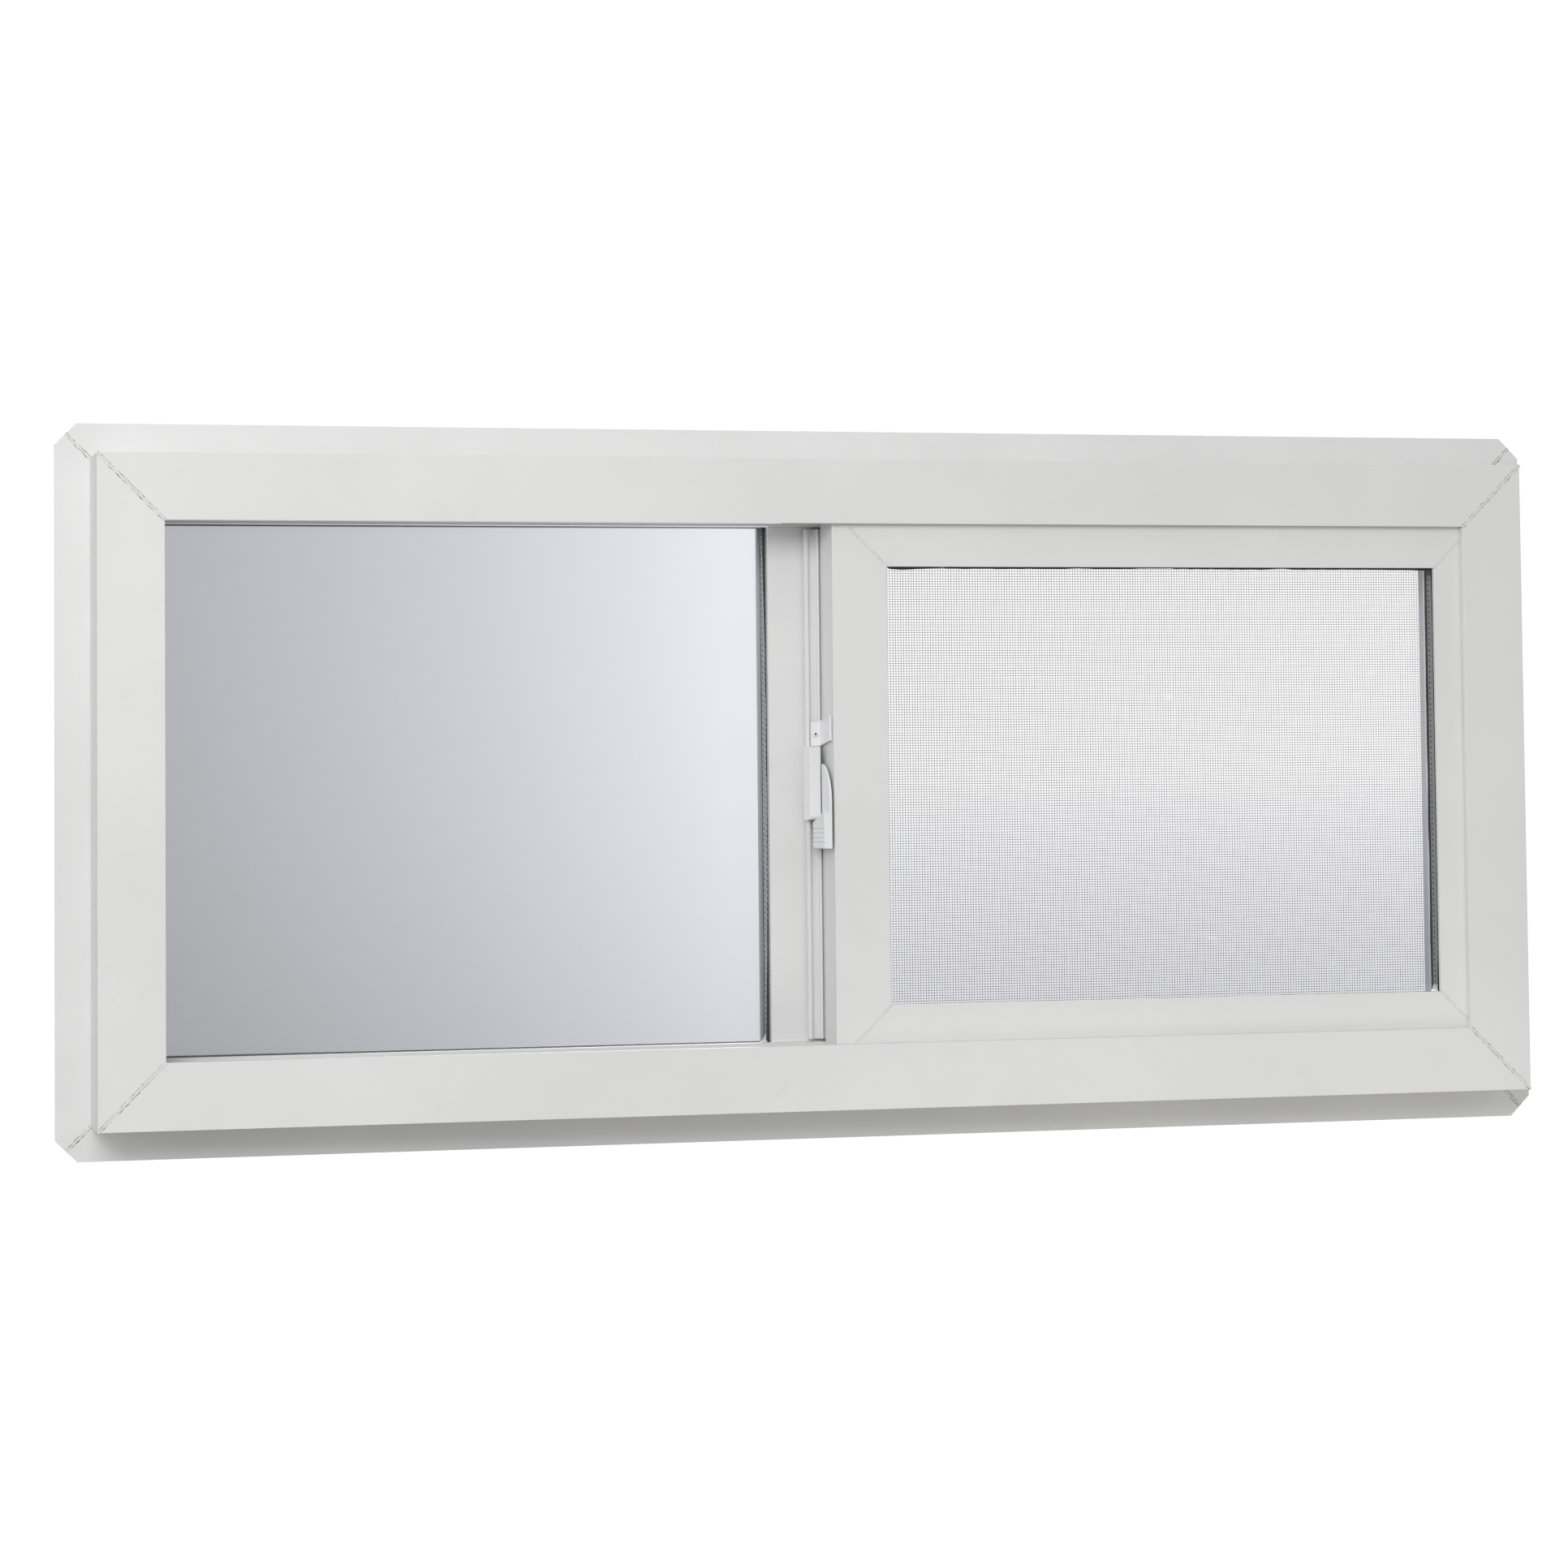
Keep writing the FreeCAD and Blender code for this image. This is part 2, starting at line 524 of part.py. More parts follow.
# Sliding sash: three members with a groove round the outside for track and
# glides, and a meeting stile with a plain side and an interlock flange.
def sash_members():
    section = [
        ("sash_setback", "outer_edge"), ("sash_setback", "sash_face"), ("sash_seat", "sash_face"),
        ("sash_seat", "sash_rebate"), ("sash_back", "sash_rebate"), ("sash_back", "outer_edge"),
        ("groove_back", "outer_edge"), ("groove_back", "groove_depth"),
        ("groove_front", "groove_depth"), ("groove_front", "outer_edge"),
    ]
    inner = "sash_rebate - wall"
    chambers = [
        box_loop("sash_setback + wall", "wall", "groove_front - wall", inner),
        box_loop("groove_front", "groove_depth + wall", "groove_back", inner),
        box_loop("groove_back + wall", "wall", "sash_back - wall", inner),
    ]
    for label, side in (("sash_top_rail", "top"), ("sash_bottom_rail", "bottom"),
                        ("sash_pull_stile", "right")):
        ring_member(label, SASH, side, section, chambers)
    ridge_out = "-inner_ridge - inner_ridge_width"
    plain = [
        ("sash_setback", "outer_edge"), ("sash_setback", "sash_face"), ("sash_seat", "sash_face"),
        ("sash_seat", "sash_rebate"), ("sash_back", "sash_rebate"), ("sash_back", "hook_root"),
        ("hook_back", "hook_root"), ("hook_back", "-hook_reach"), ("sash_back", "-hook_reach"),
        ("sash_back", "hook_ridge - hook_reach"), ("hook_front", "hook_ridge - hook_reach"),
        ("hook_front", ridge_out), ("sash_back", ridge_out), ("sash_back", "-inner_ridge"),
        ("hook_front", "-inner_ridge"), ("hook_front", "outer_edge"),
    ]
    chambers = [
        box_loop("sash_setback + wall", "wall", "track_centre - wall/2", inner),
        box_loop("track_centre + wall/2", "wall", "sash_back - wall", inner),
    ]
    body = ring_member("sash_meeting_stile", SASH, "left", plain, chambers)
    notch = new_sketch(body, "notch", "YZ_Plane")
    front = "sash_back - flange_setback"
    back = "hook_back - flange_setback"
    low = "body_bottom + face_width + hook_clearance"
    high = "body_top - face_width - hook_clearance"
    draw_loop(notch, box_loop(front, "sash_edge_bottom - hook_reach", back, low))
    draw_loop(notch, box_loop(front, high, back, "sash_edge_top + hook_reach"))
    pocket_through(body, notch, "notch_cut")


def sash_beads():
    back_edge = "sash_back - sash_bead_edge"
    low = "sash_rebate + fit_gap"
    section = [
        ("sash_bead_front", low), ("sash_back", low), ("sash_back", "sash_bead_top - sash_bead_edge"),
        (back_edge, "sash_bead_top"), ("sash_bead_front", "sash_bead_top"),
    ]
    chamber = box_loop("sash_bead_front + bead_wall", f"{low} + bead_wall",
                       "sash_back - bead_wall", "sash_bead_top - sash_bead_edge - bead_wall")
    for side in ("top", "bottom", "left", "right"):
        ring_member(f"sash_bead_{side}", SASH, side, section, [chamber])


# Glides: blocks in the groove under the sash that straddle and ride on the track.
def sash_glides():
    top = "sash_edge_bottom + groove_depth - fit_gap/3"
    rail = "body_bottom + track_top"
    skirt = f"{rail} - glide_skirt"
    section = [
        ("groove_front + fit_gap", top), ("groove_front + fit_gap", skirt),
        ("track_front - fit_gap", skirt), ("track_front - fit_gap", rail),
        ("track_back + fit_gap", rail), ("track_back + fit_gap", skirt),
        ("groove_back - fit_gap", skirt), ("groove_back - fit_gap", top),
    ]
    places = {"left": "sash_left + glide_inset", "right": "sash_edge_right - glide_inset - glide_length"}
    for side, start in places.items():
        body = new_body(f"sash_glide_{side}")
        sketch = new_sketch(body, "section", "YZ_Plane", start)
        draw_loop(sketch, [(f"({depth}) - flange_setback", height) for depth, height in section])
        pad(body, sketch, "glide_length")


# Pile strips: behind the lips of head, sill and right jamb, and on the meeting stile.
def weather_strips():
    front, back = "wall", "sash_setback - fit_gap/3"
    edge = "(face_width - wall)"
    left, right = "body_left + face_width", "body_right - face_width"
    bottom, top = "body_bottom + face_width", "body_top - face_width"
    strips = {
        "pile_head": (left, right, f"body_top - {edge}", f"body_top - {edge} + pile_height"),
        "pile_sill": (left, right, f"body_bottom + {edge} - pile_height", f"body_bottom + {edge}"),
        "pile_jamb": (f"body_right - {edge}", f"body_right - {edge} + pile_height", bottom, top),
    }
    for label, (low_x, high_x, low_z, high_z) in strips.items():
        cuboid(new_body(label), "strip", low_x, high_x, front, back, low_z, high_z)
    start = "sash_left - meeting_pile_place"
    cuboid(new_body("pile_meeting_stile"), "strip", start, f"{start} + meeting_pile_width",
           "hook_back + fit_gap/3", "stile_setback", bottom, top)


# Latch: bracket, housing and lever in the corner of the sash's side and flange.
def latch():
    top = "latch_middle + bracket_top"
    low = "latch_middle + bracket_top - bracket_drop"
    bracket = new_body("latch_bracket")
    side = new_sketch(bracket, "side", "YZ_Plane", "bracket_side")
    front, back = "bracket_front - flange_setback", "bracket_back - flange_setback"
    draw_loop(side, [(front, low), (back, f"{low} - bracket_slope"), (back, f"{top} - bracket_slope"),
                     (front, top)])
    pad(bracket, side, "bracket_sheet")
    cuboid(bracket, "leg", "sash_left - latch_gap - bracket_leg", "bracket_right",
           "bracket_back - bracket_sheet", "bracket_back", f"{low} - bracket_slope", f"{top} - bracket_slope")
    screw = new_sketch(bracket, "screw", "XZ_Plane")
    screw.addGeometry(Part.Circle(Vector(0, 0, 0), Vector(0, 0, 1), 1.0))
    radius = screw.addConstraint(Sketcher.Constraint("Radius", 0, 1.0))
    screw.setExpression(f"Constraints[{radius}]", tied("bracket_screw"))
    for kind, place in (("DistanceX", "bracket_side - (bracket_leg - bracket_sheet)/2"),
                        ("DistanceY", f"{low} + bracket_drop/2 - bracket_slope")):
        index = screw.addConstraint(Sketcher.Constraint(kind, -1, 1, 0, 3, 1.0))
        screw.setExpression(f"Constraints[{index}]", tied(place))
    hole = pocket_through(bracket, screw, "screw_hole")
    doc.recompute()
    box = hole.Shape.BoundBox
    round_edges(bracket, hole, "bracket_bend", lambda edge: edge.XLength + edge.YLength < 1e-6
                and edge.XMin > box.XMin + 1e-6 and edge.XMax < box.XMax - 1e-6 and edge.YMin > box.YMin + 1e-6)

    housing = new_body("latch_housing")
    outline = new_sketch(housing, "outline", "XY_Plane", "latch_middle - housing_drop")
    front, back = "housing_front - flange_setback", "bracket_back - flange_setback"
    nose = "housing_left + housing_draft"
    draw_loop(outline, [("housing_left", back), (nose, f"{front} + housing_edge"),
                        (f"{nose} + housing_edge", front), ("housing_right", front),
                        ("housing_right", back)])
    block = pad(housing, outline, "housing_drop + bracket_top - bracket_drop - bracket_slope - fit_gap")
    doc.recompute()
    box = block.Shape.BoundBox
    round_edges(housing, block, "housing_round", lambda edge: edge.YMax < box.YMin + 1e-6
                and edge.ZMax < box.ZMin + 1e-6)

    lever = new_body("latch_lever")
    arm = new_sketch(lever, "arm", "YZ_Plane", "lever_left")
    front, back = "lever_front - flange_setback", "lever_back - flange_setback"
    bottom = "pad_top_height - pad_height"
    draw_loop(arm, [(front, bottom), (back, bottom), (back, "latch_middle + lever_tip"),
                    (f"{back} - lever_point", "latch_middle + lever_tip"),
                    (front, "latch_middle - lever_shoulder")], arcs=(3,))
    pad(lever, arm, "lever_sheet")
    thumb = new_sketch(lever, "thumb", "YZ_Plane", "pad_left")
    back = "pad_back - flange_setback"
    draw_loop(thumb, [(front, bottom), (back, bottom), (back, "pad_top_height"),
                      (f"{front} + pad_crest", "pad_top_height + pad_rise"),
                      (front, "pad_top_height + pad_rise")])
    block = pad(lever, thumb, "pad_width")
    doc.recompute()
    round_edges(lever, block, "pad_round", lambda edge: edge.YMin > block.Shape.BoundBox.YMax - 1e-6
                and edge.ZMax < block.Shape.BoundBox.ZMin + 1e-6)
    grips = new_sketch(lever, "grips", "XZ_Plane")
    for i in range(4):
        height = f"pad_top_height - grip_first - {i}*grip_pitch"
        draw_loop(grips, box_loop("pad_left - grip_depth", f"{height} - grip_width",
                                  "pad_left + grip_depth", height))
    pocket_through(lever, grips, "grip_cut")


# Insect screen: four aluminium bars with a spline groove on the outdoor face.
def screen():
    groove_end = "spline_place + spline_width"
    floor = "screen_back - spline_depth"
    section = [
        ("screen_front", "outer_edge"), ("screen_front", "screen_bar"), ("screen_back", "screen_bar"),
        ("screen_back", groove_end), (floor, groove_end), (floor, "spline_place"),
        ("screen_back", "spline_place"), ("screen_back", "outer_edge"),
    ]
    near, far = "screen_front + screen_wall", "screen_back - screen_wall"
    step = f"{floor} - screen_wall"
    chamber = [
        (near, "screen_wall"), (near, "screen_bar - screen_wall"), (far, "screen_bar - screen_wall"),
        (far, f"{groove_end} + screen_wall"), (step, f"{groove_end} + screen_wall"),
        (step, "spline_place - screen_wall"), (far, "spline_place - screen_wall"), (far, "screen_wall"),
    ]
    for side in ("top", "bottom", "left", "right"):
        ring_member(f"screen_frame_{side}", SCREEN, side, section, [chamber])
    panel("screen_mesh", SCREEN, "screen_back", "screen_back + mesh_thick", groove_end)
    panel("screen_spline", SCREEN, f"{floor} + fit_gap/3", "screen_back", "spline_place + fit_gap/3",
          f"{groove_end} - fit_gap/3")


doc = FreeCAD.newDocument("SlidingBasementWindow")
make_sheet(doc)
frame_members()
fixed_meeting_stile()
insulated_unit("fixed", LITE, "unit_front", "unit_clearance")
beads("fixed_bead", LITE)
sash_members()
insulated_unit("sash", SASH, "sash_unit_front", "sash_face - sash_bite")
sash_beads()
sash_glides()
weather_strips()
latch()
screen()
beads("screen_stop", SCREEN_REBATE)
doc.recompute()

for item in doc.Objects:
    if "Invalid" in item.State or "Error" in item.State:
        raise RuntimeError(f"{item.Label} failed: {item.State}")
subparts = [item for item in doc.Objects if item.TypeId == "PartDesign::Body"]
for item in subparts:
    if item.Shape.isNull() or not item.Shape.isValid() or len(item.Shape.Solids) != 1:
        raise RuntimeError(f"{item.Label} is not one valid solid")
os.makedirs("parts", exist_ok=True)
for item in subparts:
    item.Shape.exportStep(f"parts/{item.Label}.step")
print(len(subparts), "sub-parts")
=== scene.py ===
import math
import random
import bpy
from mathutils import Euler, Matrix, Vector, noise


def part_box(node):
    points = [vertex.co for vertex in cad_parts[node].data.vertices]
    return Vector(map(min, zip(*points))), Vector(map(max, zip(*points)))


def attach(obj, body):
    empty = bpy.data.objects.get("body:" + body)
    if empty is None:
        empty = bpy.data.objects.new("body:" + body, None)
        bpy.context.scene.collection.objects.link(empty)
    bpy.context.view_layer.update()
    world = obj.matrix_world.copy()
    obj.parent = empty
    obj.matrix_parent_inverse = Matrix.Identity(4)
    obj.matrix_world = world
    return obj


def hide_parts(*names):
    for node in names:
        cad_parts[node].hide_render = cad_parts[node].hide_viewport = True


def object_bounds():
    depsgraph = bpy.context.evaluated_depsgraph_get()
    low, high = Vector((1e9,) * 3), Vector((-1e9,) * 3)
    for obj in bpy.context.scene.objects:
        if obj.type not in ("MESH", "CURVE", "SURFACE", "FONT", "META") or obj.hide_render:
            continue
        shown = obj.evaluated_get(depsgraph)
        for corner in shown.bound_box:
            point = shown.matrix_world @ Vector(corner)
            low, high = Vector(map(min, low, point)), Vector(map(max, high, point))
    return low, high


# Sliding basement window of white vinyl, dressed around its CAD frame. X runs
# along the width, Y from the room to the outdoors and Z up, in metres.

MM = 0.001

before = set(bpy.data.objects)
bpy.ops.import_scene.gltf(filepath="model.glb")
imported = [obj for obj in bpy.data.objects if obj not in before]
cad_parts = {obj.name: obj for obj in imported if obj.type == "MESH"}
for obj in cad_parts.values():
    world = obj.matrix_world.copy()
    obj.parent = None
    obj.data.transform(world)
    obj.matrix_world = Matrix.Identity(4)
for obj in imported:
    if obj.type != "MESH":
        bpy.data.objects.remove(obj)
cad_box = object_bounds()

# Sizes that the boxes of the nodes don't give
FACE_WIDTH = 35.5 * MM
FLANGE_REACH = 18.7 * MM
FLANGE_THICK = 2 * MM
FLANGE_CLIP = 11.5 * MM
REBATE_FLOOR = 24 * MM
SASH_FACE = 31.3 * MM
SPACER_HEIGHT = 6.5 * MM

# The planes and rectangles that the details sit on
BOX_LOW, BOX_HIGH = (Vector(corner) for corner in cad_box)
FRONT = BOX_LOW.y
BACK = BOX_HIGH.y
FLANGE_FRONT = 0.0
BODY = (BOX_LOW.x + FLANGE_REACH, BOX_LOW.z + FLANGE_REACH,
        BOX_HIGH.x - FLANGE_REACH, BOX_HIGH.z - FLANGE_REACH)
SASH_LOW, SASH_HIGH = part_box("sash_pull_stile")
SASH_FRONT = SASH_LOW.y
SASH = (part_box("sash_top_rail")[0].x, SASH_LOW.z, SASH_HIGH.x, SASH_HIGH.z)


def inset(rectangle, margin):
    left, bottom, right, top = rectangle
    return (left + margin, bottom + margin, right - margin, top - margin)


def corners(rectangle):
    """The four corners as (x, z), from the lower left and against the clock."""
    left, bottom, right, top = rectangle
    return [(left, bottom), (right, bottom), (right, top), (left, top)]


def smooth_noise(place, seed):
    """Smooth noise from -1 to 1 along a line, different for each seed."""
    return noise.noise(Vector((place, seed * 17.31, 4.7)))


# Shader helpers

BLACK = (0, 0, 0)
WHITE = (1, 1, 1)


class Shader:
    """A material and short ways to add nodes to it and link them."""

    def __init__(self, name):
        self.material = bpy.data.materials.new(name)
        self.material.use_nodes = True
        self.tree = self.material.node_tree
        self.tree.nodes.clear()
        self.output = self.tree.nodes.new("ShaderNodeOutputMaterial")
        self.place = self.tree.nodes.new("ShaderNodeTexCoord").outputs["Object"]

    def node(self, kind, settings=None, **inputs):
        made = self.tree.nodes.new(kind)
        for key, value in (settings or {}).items():
            setattr(made, key, value)
        for key, value in inputs.items():
            socket = made.inputs[key.replace("_", " ")]
            if isinstance(value, bpy.types.NodeSocket):
                self.tree.links.new(value, socket)
            else:
                socket.default_value = value
        return made

    def noise(self, scale, detail=3.0, stretch=(1, 1, 1), roughness=0.5):
        spread = self.node("ShaderNodeMapping", Vector=self.place, Scale=stretch)
        made = self.node("ShaderNodeTexNoise", Vector=spread.outputs["Vector"], Scale=scale,
                         Detail=detail, Roughness=roughness)
        return made.outputs["Fac"]

    def ramp(self, value, stops):
        """A grey or coloured ramp through (position, colour) stops."""
        made = self.node("ShaderNodeValToRGB", Fac=value)
        band = made.color_ramp
        while len(band.elements) < len(stops):
            band.elements.new(0.5)
        for element, (position, colour) in zip(band.elements, stops):
            element.position = position
            element.color = (*colour, 1)
        return made.outputs["Color"]

    def mix(self, factor, first, second):
        made = self.node("ShaderNodeMix", {"data_type": "RGBA"})
        for number, value in ((0, factor), (6, first), (7, second)):
            socket = made.inputs[number]
            if isinstance(value, bpy.types.NodeSocket):
                self.tree.links.new(value, socket)
            else:
                socket.default_value = (*value, 1)
        return made.outputs[2]

    def math(self, operation, first, second=0.0):
        made = self.node("ShaderNodeMath", {"operation": operation})
        for socket, value in zip(made.inputs, (first, second)):
            if isinstance(value, bpy.types.NodeSocket):
                self.tree.links.new(value, socket)
            else:
                socket.default_value = value
        return made.outputs["Value"]

    def bump(self, height, distance, strength=1.0):
        made = self.node("ShaderNodeBump", Height=height, Distance=distance, Strength=strength)
        return made.outputs["Normal"]

    def split(self, vector):
        """The X, Y and Z of a vector as sockets by name."""
        return self.node("ShaderNodeSeparateXYZ", Vector=vector).outputs

    def normal(self):
        return self.split(self.node("ShaderNodeNewGeometry").outputs["Normal"])

    def stretch(self, value, start, length):
        """The place between start and start + length, as 0 to 1."""
        return self.math("DIVIDE", self.math("SUBTRACT", value, start), length)

    def surface(self, shader):
        self.tree.links.new(shader.outputs[0], self.output.inputs["Surface"])
        return self.material

    def plain(self, **inputs):
        """Finishes the material with one Principled shader."""
        return self.surface(self.node("ShaderNodeBsdfPrincipled", **inputs))


# Materials

VINYL = (0.80, 0.80, 0.797)
BEAD_VINYL = (0.82, 0.82, 0.817)
BEAD_ROUGHNESS = 0.3
GLASS_GLOSS = 0.034
FACING = 0.9
FIXED_LEFT = -0.42


def pane_light(s, limits, least, slope):
    """A painted glow that stands for light from the fixed pane on faces that look down, up to
    these limits in x and y. It grows to the right, as the pane's does."""
    place = s.split(s.place)
    lit = s.math("LESS_THAN", s.normal()["Z"], -FACING)
    for axis, limit in zip("XY", limits):
        lit = s.math("MULTIPLY", lit, s.math("LESS_THAN", place[axis], limit))
    across = s.math("MULTIPLY", s.math("SUBTRACT", place["X"], FIXED_LEFT), slope)
    strength = s.math("MULTIPLY", lit, s.math("ADD", across, least))
    return {"Emission_Color": (0.88, 0.94, 1.0, 1), "Emission_Strength": strength}


def vinyl(name, grain, tone=VINYL, roughness=0.36, lit_to=None):
    """Satin extruded vinyl with faint draw lines along the grain and handling marks.
    With lit_to, faces that look down get a painted glow for light from the fixed pane."""
    s = Shader(name)
    across = [260, 260, 260]
    across[grain] = 1.5
    lines = s.noise(1.0, detail=2.0, stretch=across)
    cloud = s.noise(9.0, detail=4.0)
    marks = s.noise(38.0, detail=6.0, roughness=0.62)
    darker = tuple(c * 0.955 for c in tone)
    colour = s.mix(s.ramp(cloud, [(0.35, BLACK), (0.65, WHITE)]), darker, tone)
    grubby = tuple(c * f for c, f in zip(tone, (0.93, 0.928, 0.91)))
    colour = s.mix(s.ramp(marks, [(0.60, BLACK), (0.74, (0.55, 0.55, 0.55))]), colour, grubby)
    rough = s.math("ADD", s.math("MULTIPLY", cloud, 0.16), roughness - 0.08)
    height = s.math("ADD", s.math("MULTIPLY", lines, 0.5), s.math("MULTIPLY", marks, 0.35))
    glow = pane_light(s, lit_to, 0.16, 1.2) if lit_to else {}
    return s.plain(Base_Color=colour, Roughness=rough, Normal=s.bump(height, 0.05 * MM, 0.5), IOR=1.48,
                   **glow)


def lit_vinyl():
    """The bead beside the sash glass: a painted bluish tint, and a painted glow on its inner side for
    light from the pane.
    """
    s = Shader("bead_lit")
    cloud = s.noise(40.0, detail=3.0)
    colour = s.mix(cloud, (0.74, 0.80, 0.83), (0.80, 0.85, 0.87))
    side = s.math("MULTIPLY", s.math("LESS_THAN", s.normal()["X"], -FACING), 0.16)
    return s.plain(Base_Color=colour, Roughness=BEAD_ROUGHNESS, Emission_Color=colour,
                   Emission_Strength=side)


def weld_vinyl():
    """Vinyl that was melted and shaved off: uneven and a little glossier."""
    s = Shader("vinyl_weld")
    lumps = s.noise(900.0, detail=4.0)
    colour = s.mix(lumps, tuple(c * 0.9 for c in VINYL), VINYL)
    return s.plain(Base_Color=colour, Roughness=0.3, Normal=s.bump(lumps, 0.0001, 0.8), IOR=1.48)


def weld_shadow():
    """Painted shade along the edge beside a weld, darker in places."""
    s = Shader("weld_edge_shade")
    breaks = s.noise(420.0, detail=3.0)
    colour = s.ramp(breaks, [(0.38, (0.60, 0.60, 0.58)), (0.50, (0.36, 0.355, 0.34)),
                             (0.62, (0.17, 0.165, 0.155))])
    return s.plain(Base_Color=colour, Roughness=0.7)


def latch_plastic():
    """Moulded white plastic, brighter and smoother than the vinyl."""
    s = Shader("latch_plastic")
    grain = s.noise(1400.0, detail=2.0)
    cloud = s.noise(60.0, detail=3.0)
    colour = s.mix(cloud, (0.80, 0.805, 0.82), (0.87, 0.875, 0.89))
    return s.plain(Base_Color=colour, Roughness=0.27, Normal=s.bump(grain, 0.00002, 0.5), IOR=1.5)


def pane(s, tint):
    """See-through with a thin gloss that grows towards grazing angles."""
    through = s.node("ShaderNodeBsdfTransparent", Color=tint)
    gloss = s.node("ShaderNodeBsdfGlossy", Color=(0.96, 0.98, 1.0, 1), Roughness=0.02)
    facing = s.node("ShaderNodeLayerWeight", Blend=0.5).outputs["Facing"]
    grazing = s.math("MULTIPLY", s.math("POWER", facing, 5.0), 1 - GLASS_GLOSS)
    shader = s.node("ShaderNodeMixShader", Fac=s.math("ADD", grazing, GLASS_GLOSS))
    s.tree.links.new(through.outputs[0], shader.inputs[1])
    s.tree.links.new(gloss.outputs[0], shader.inputs[2])
    return shader


def clear_glass(name, low_shade=None, marks=()):
    """One clear pane. It can carry a painted bluish shade towards the sill, and wipe marks."""
    s = Shader(name)
    tint = (*WHITE, 1)
    if low_shade:
        up = s.stretch(s.split(s.place)["Z"], 0.06, 0.13)
        tint = s.mix(s.ramp(up, [(0.0, BLACK), (1.0, WHITE)]), low_shade, WHITE)
    shader = pane(s, tint)
    for number, (x, z, wide, tall, turn) in enumerate(marks):
        shader = smear(s, shader, number, x, z, wide, tall, turn)
    return s.surface(shader)


def smear(s, shader, number, x, z, wide, tall, turn):
    """A dried wipe mark on the pane, ragged and thin, added over the shader."""
    shift = s.node("ShaderNodeMapping", {"vector_type": "TEXTURE"}, Vector=s.place, Location=(x, 0, z),
                   Rotation=(0, turn, 0), Scale=(wide, 1, tall))
    place = s.split(shift.outputs["Vector"])
    squares = [s.math("POWER", place[axis], 2.0) for axis in "XZ"]
    radius = s.math("SQRT", s.math("ADD", *squares))
    ragged = s.noise(260.0, detail=6.0, stretch=(1, 0, 1), roughness=0.8)
    edge = s.math("SUBTRACT", 1.35, s.math("ADD", radius, s.math("MULTIPLY", ragged, 1.6)))
    amount = s.math("MULTIPLY", s.ramp(edge, [(0.0, BLACK), (0.7, WHITE)]), 0.22)
    film = s.node("ShaderNodeEmission", Color=(0.97, 0.97, 1, 1), Strength=0.98)
    covered = s.node("ShaderNodeMixShader", Fac=amount)
    s.tree.links.new(shader.outputs[0], covered.inputs[1])
    s.tree.links.new(film.outputs[0], covered.inputs[2])
    return covered


# How much light the pane's painted shade lets through, at places from the left to the
# right, and how much less at the sill
PANE_SHADE = ((0.14, 0.669), (0.342, 0.726), (0.563, 0.790), (0.7875, 0.867), (0.925, 0.918))
PANE_SHADE_LOW = 0.105


def shade_colour(level):
    return (level, 1.005 * level, 1.033 * level)


def shaded_glass():
    """The fixed unit's outer pane: a painted grey-blue shade, deepest at the lower left."""
    s = Shader("painted_shade_glass")
    place = s.split(s.place)
    across = s.stretch(place["X"], FIXED_LEFT, 0.396)
    up = s.stretch(place["Z"], 0.045, 0.285)
    depth = s.math("MULTIPLY", s.math("POWER", s.math("SUBTRACT", 1.0, up), 2.2), PANE_SHADE_LOW)
    across_shade = s.ramp(across, [(stop, shade_colour(level)) for stop, level in PANE_SHADE])
    tint = s.mix(depth, across_shade, BLACK)
    return s.surface(pane(s, tint))


def spacer_metal(name, tone, lit_to):
    """Roll-formed spacer of mill-finish metal with fine slanting knurls. With lit_to,
    its underside gets a painted glow for light from the fixed pane."""
    s = Shader(name)
    slant = s.node("ShaderNodeMapping", Vector=s.place, Rotation=(0.6, 0.6, 0))
    knurl = s.node("ShaderNodeTexWave", {"bands_direction": "Z"}, Vector=slant.outputs["Vector"],
                   Scale=180.0, Distortion=1.5, Detail=2.0)
    cloud = s.noise(70.0, detail=4.0)
    colour = s.mix(cloud, tuple(c * 0.8 for c in tone), tone)
    glow = pane_light(s, lit_to, 0.14, 1.1) if lit_to else {}
    return s.plain(Base_Color=colour, Metallic=0.3, Roughness=0.46,
                   Normal=s.bump(knurl.outputs["Fac"], 0.0002, 0.7), **glow)


def key_highlight_metal():
    """Creased spacer metal at the lower corner keys, painted bright as a highlight."""
    s = Shader("key_painted_highlight")
    creases = s.noise(520.0, detail=5.0)
    return s.plain(Base_Color=(0.93, 0.93, 0.92, 1), Metallic=0.35, Roughness=0.25,
                   Normal=s.bump(creases, 0.0006, 1.0))


def rubber(name, colour, roughness=0.5):
    """Black sealing compound or rubber with a soft uneven skin."""
    s = Shader(name)
    lumps = s.noise(700.0, detail=4.0)
    shade = s.mix(lumps, tuple(c * 0.6 for c in colour), tuple(c * 1.5 for c in colour))
    return s.plain(Base_Color=shade, Roughness=roughness, Normal=s.bump(lumps, 0.0002, 0.7))


def painted_metal(name, colour):
    """Roll-formed aluminium under white paint."""
    s = Shader(name)
    peel = s.noise(1100.0, detail=2.0)
    cloud = s.noise(14.0, detail=4.0)
    shade = s.mix(cloud, tuple(c * 0.95 for c in colour), colour)
    return s.plain(Base_Color=shade, Roughness=0.33, Normal=s.bump(peel, 0.00003, 0.6), IOR=1.5)


def nylon():
    s = Shader("glide_nylon")
    grain = s.noise(800.0, detail=3.0)
    colour = s.mix(grain, (0.62, 0.61, 0.56), (0.70, 0.69, 0.64))
    return s.plain(Base_Color=colour, Roughness=0.42, Normal=s.bump(grain, 0.00004, 0.6))


def pile_fibre():
    s = Shader("pile_fibre")
    hairs = s.noise(1.0, detail=3.0, stretch=(2600, 2600, 2600))
    colour = s.mix(hairs, (0.27, 0.27, 0.26), (0.56, 0.56, 0.54))
    return s.plain(Base_Color=colour, Roughness=0.9, Normal=s.bump(hairs, 0.0006, 1.0))


